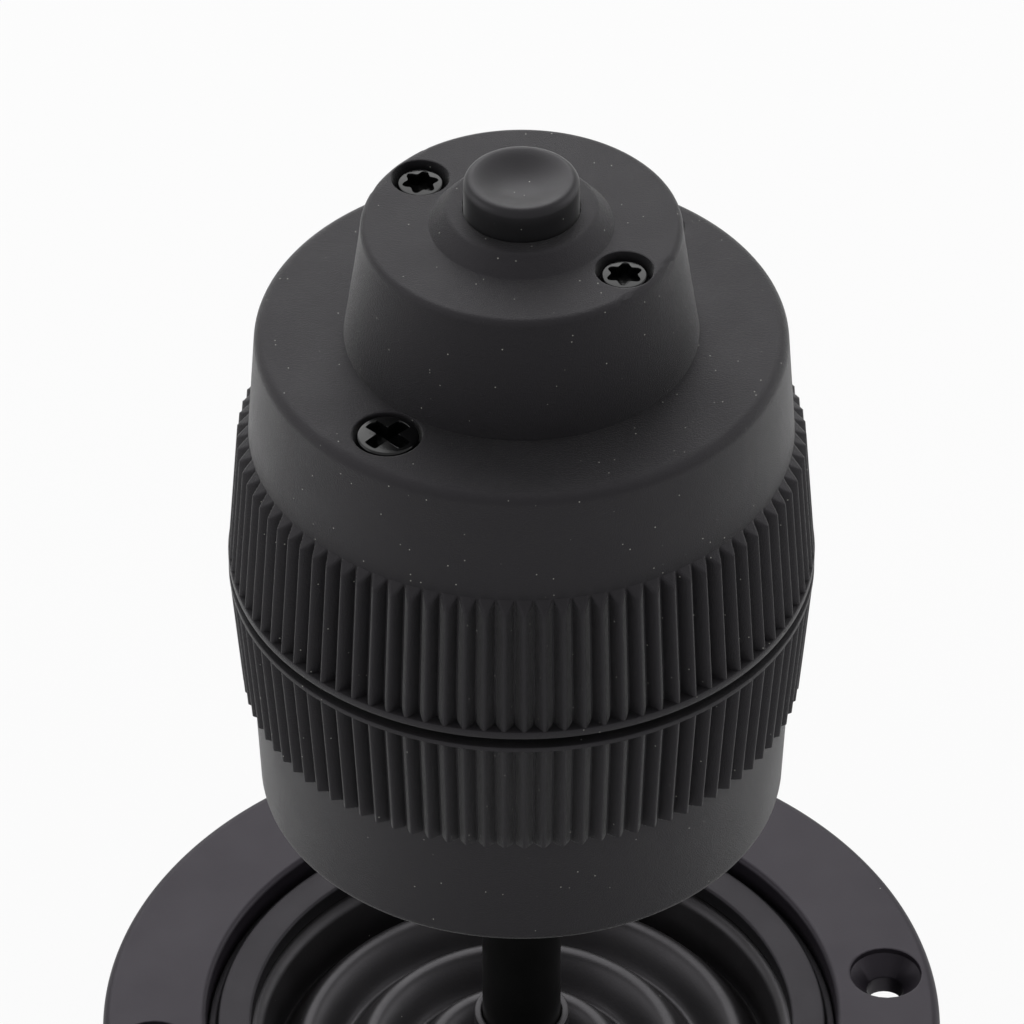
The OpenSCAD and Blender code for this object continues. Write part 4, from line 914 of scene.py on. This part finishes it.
class JOYSTICK_OT_screws(bpy.types.Operator):
    """Builds the two turret screws and the two shoulder screws"""
    bl_idname = "joystick.screws"
    bl_label = "Screws"

    def execute(self, context):
        turret, knob = context.scene.joystick_turret, context.scene.joystick_knob
        lift = 0.02    # gap under a screw's head
        circle, depth, collar = mm(turret, "screw_circle", "pocket_depth", "collar_height")
        seat = reach("turret")[2] - collar - depth + lift
        skin = Skin()
        for turn, drive in zip(opposite(turret), (0.1, 0.3)):
            screw_head(skin, turn, circle, seat, radius=1.95, height=1.35,
                       contour=star_contour(radius=1.5), recess=1.15, drive=drive, shank=0.98)
        settle(skin, "turret_screw_heads", "twist_knob", "black_steel", "turret_screws")
        circle, depth = mm(knob, "screw_circle", "pocket_depth")
        seat = reach("upper_shell")[2] - depth + lift
        skin = Skin()
        for turn in opposite(knob):
            screw_head(skin, turn, circle, seat, radius=2.6, height=1.9,
                       contour=cross_contour(reach=2.05, width=0.62), recess=1.4, drive=0.64, shank=1.22)
        settle(skin, "shoulder_screw_heads", "twist_knob", "black_steel", "shoulder_screws")
        return {"FINISHED"}


class JOYSTICK_OT_tilt_spring(bpy.types.Operator):
    """Copies the tilt Y spring with its doubled points merged, gives it the music-wire finish and hides
    the CAD node
    """
    bl_idname = "joystick.tilt_spring"
    bl_label = "Tilt spring"

    def execute(self, context):
        name, fixed_post, moving_post = "tilt_y_spring", 3.3, 1.6    # heights over the legs' tips
        node = frame["nodes"][name]
        piece = placed("tilt_y_spring_wire", node.data.copy())
        piece.matrix_world = node.matrix_world.copy()
        mesh = bmesh.new()
        mesh.from_mesh(piece.data)
        bmesh.ops.remove_doubles(mesh, verts=mesh.verts, dist=0.001 * MM)
        mesh.to_mesh(piece.data)
        mesh.free()
        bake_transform(piece)
        piece.data.materials.clear()
        piece.data.materials.append(dressed("spring_steel"))
        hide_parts(name)
        return {"FINISHED"}


class JOYSTICK_OT_finishes(bpy.types.Operator):
    """Gives every CAD node the finish of its material slot"""
    bl_idname = "joystick.finishes"
    bl_label = "Finishes"

    def execute(self, context):
        slots = {row["node"]: row["material_slot"] for row in frame["record"]["subparts"]}
        for name, node in frame["nodes"].items():
            made = dressed(slots[name])
            for place in node.material_slots:
                place.material = made
            if not node.material_slots:
                node.data.materials.append(made)
        return {"FINISHED"}


def seen(tree):
    """Whether the floor or the world is seen by the camera, in a reflection or through something."""
    path = add(tree, "LightPath").outputs
    found = path["Is Camera Ray"]
    for ray in ("Is Glossy Ray", "Is Transmission Ray"):
        found = add(tree, "Math", [(0, found), (1, path[ray])], operation="MAXIMUM").outputs[0]
    return found


class JOYSTICK_OT_stage(bpy.types.Operator):
    """Sets the floor, the lamps, the pale surroundings and the camera"""
    bl_idname = "joystick.stage"
    bl_label = "Studio"

    def execute(self, context):
        s = context.scene.joystick_stage
        scene = context.scene
        half, under, glowing, frame_width = 3.0, 0.0002, 0.88, 36.0
        z = CAD_LOW.z - under
        mesh = bpy.data.meshes.new("studio_floor")
        mesh.from_pydata([(-half, -half, z), (half, -half, z), (half, half, z), (-half, half, z)], [],
                         [(0, 1, 2, 3)])
        placed("studio_floor", mesh)
        material = bpy.data.materials.new("studio_paper")
        tree = cleared(material)
        paper = add(tree, "BsdfDiffuse", inputs={"Color": (*s.floor, 1.0)})
        glow = add(tree, "Emission", inputs={"Strength": 1.0})
        part = add(tree, "Math", [(0, seen(tree))], operation="MULTIPLY", inputs={1: glowing})
        mix = add(tree, "MixShader", [(0, part.outputs[0]), (1, paper.outputs[0]),
                                                (2, glow.outputs[0])])
        add(tree, "OutputMaterial", [(0, mix.outputs[0])])
        mesh.materials.append(material)

        world = bpy.data.worlds.new("studio_surroundings")
        tree = cleared(world)
        level = add(tree, "MapRange", [("Value", seen(tree))], inputs={"To Min": 0.3, "To Max": 1.0})
        sky = add(tree, "Background", [("Strength", level.outputs[0])],
                  inputs={"Color": (1.0, 1.0, 1.0, 1.0)})
        add(tree, "OutputWorld", [(0, sky.outputs[0])])
        scene.world = world
        scene.view_settings.view_transform = "Standard"

        target = Vector((0, 0, s.target))
        # Name, place in metres, side in metres and power in watts
        lamps = (("lamp_left", (-0.85, 0.1, 0.45), 0.7, 2.2), ("lamp_right", (0.85, 0.15, 0.4), 0.7, 2.2),
                 ("lamp_back", (0.0, 0.95, 0.85), 1.0, 7.5))
        for name, place, across, power in lamps:
            light = bpy.data.lights.new(name, "AREA")
            light.shape, light.size, light.energy = "SQUARE", across, power
            lamp = placed(name, light)
            lamp.location = Vector(place)
            lamp.rotation_euler = (target - lamp.location).to_track_quat("-Z", "Y").to_euler()

        data = bpy.data.cameras.new("studio_camera")
        data.lens, data.sensor_width, data.shift_x = s.lens, frame_width, s.shift
        data.clip_start, data.clip_end = 0.01, 20.0
        camera = placed("studio_camera", data)
        a, e = s.azimuth, s.elevation
        back = Vector((math.sin(a) * math.cos(e), -math.cos(a) * math.cos(e), math.sin(e)))
        right = Vector((math.cos(a), math.sin(a), 0))
        up = back.cross(right)
        turn = Matrix((right, up, back)).transposed().to_4x4()
        camera.matrix_world = Matrix.Translation(target + back * s.distance) @ turn
        scene.camera = camera
        return {"FINISHED"}


class JOYSTICK_PT_panel(bpy.types.Panel):
    """Lists the joystick's pieces and its studio"""
    bl_idname = "JOYSTICK_PT_panel"
    bl_label = "Joystick"
    bl_space_type = "VIEW_3D"
    bl_region_type = "UI"
    bl_category = "Joystick"

    def draw(self, context):
        for operator in OPERATORS:
            self.layout.operator(operator.bl_idname)
        for name, group in GROUPS.items():
            box = self.layout.box()
            for key in group.__annotations__:
                box.prop(getattr(context.scene, name), key)


OPERATORS = (JOYSTICK_OT_flange, JOYSTICK_OT_clamp_ring, JOYSTICK_OT_boot, JOYSTICK_OT_shaft,
             JOYSTICK_OT_lower_shell, JOYSTICK_OT_upper_shell, JOYSTICK_OT_turret, JOYSTICK_OT_button,
             JOYSTICK_OT_screws, JOYSTICK_OT_tilt_spring, JOYSTICK_OT_finishes, JOYSTICK_OT_stage)
CLASSES = (*GROUPS.values(), *OPERATORS, JOYSTICK_PT_panel)


def register():
    """Registers the classes and hangs the settings on the scene."""
    for made in CLASSES:
        bpy.utils.register_class(made)
    for name, group in GROUPS.items():
        setattr(bpy.types.Scene, name, bpy.props.PointerProperty(type=group))


def unregister():
    """Takes the settings and the classes away again."""
    for name in GROUPS:
        delattr(bpy.types.Scene, name)
    for made in reversed(CLASSES):
        bpy.utils.unregister_class(made)


def main():
    """Builds every piece in order."""
    register()
    for operator in OPERATORS:
        group, name = operator.bl_idname.split(".")
        getattr(getattr(bpy.ops, group), name)()


if __name__ == "__main__":
    main()
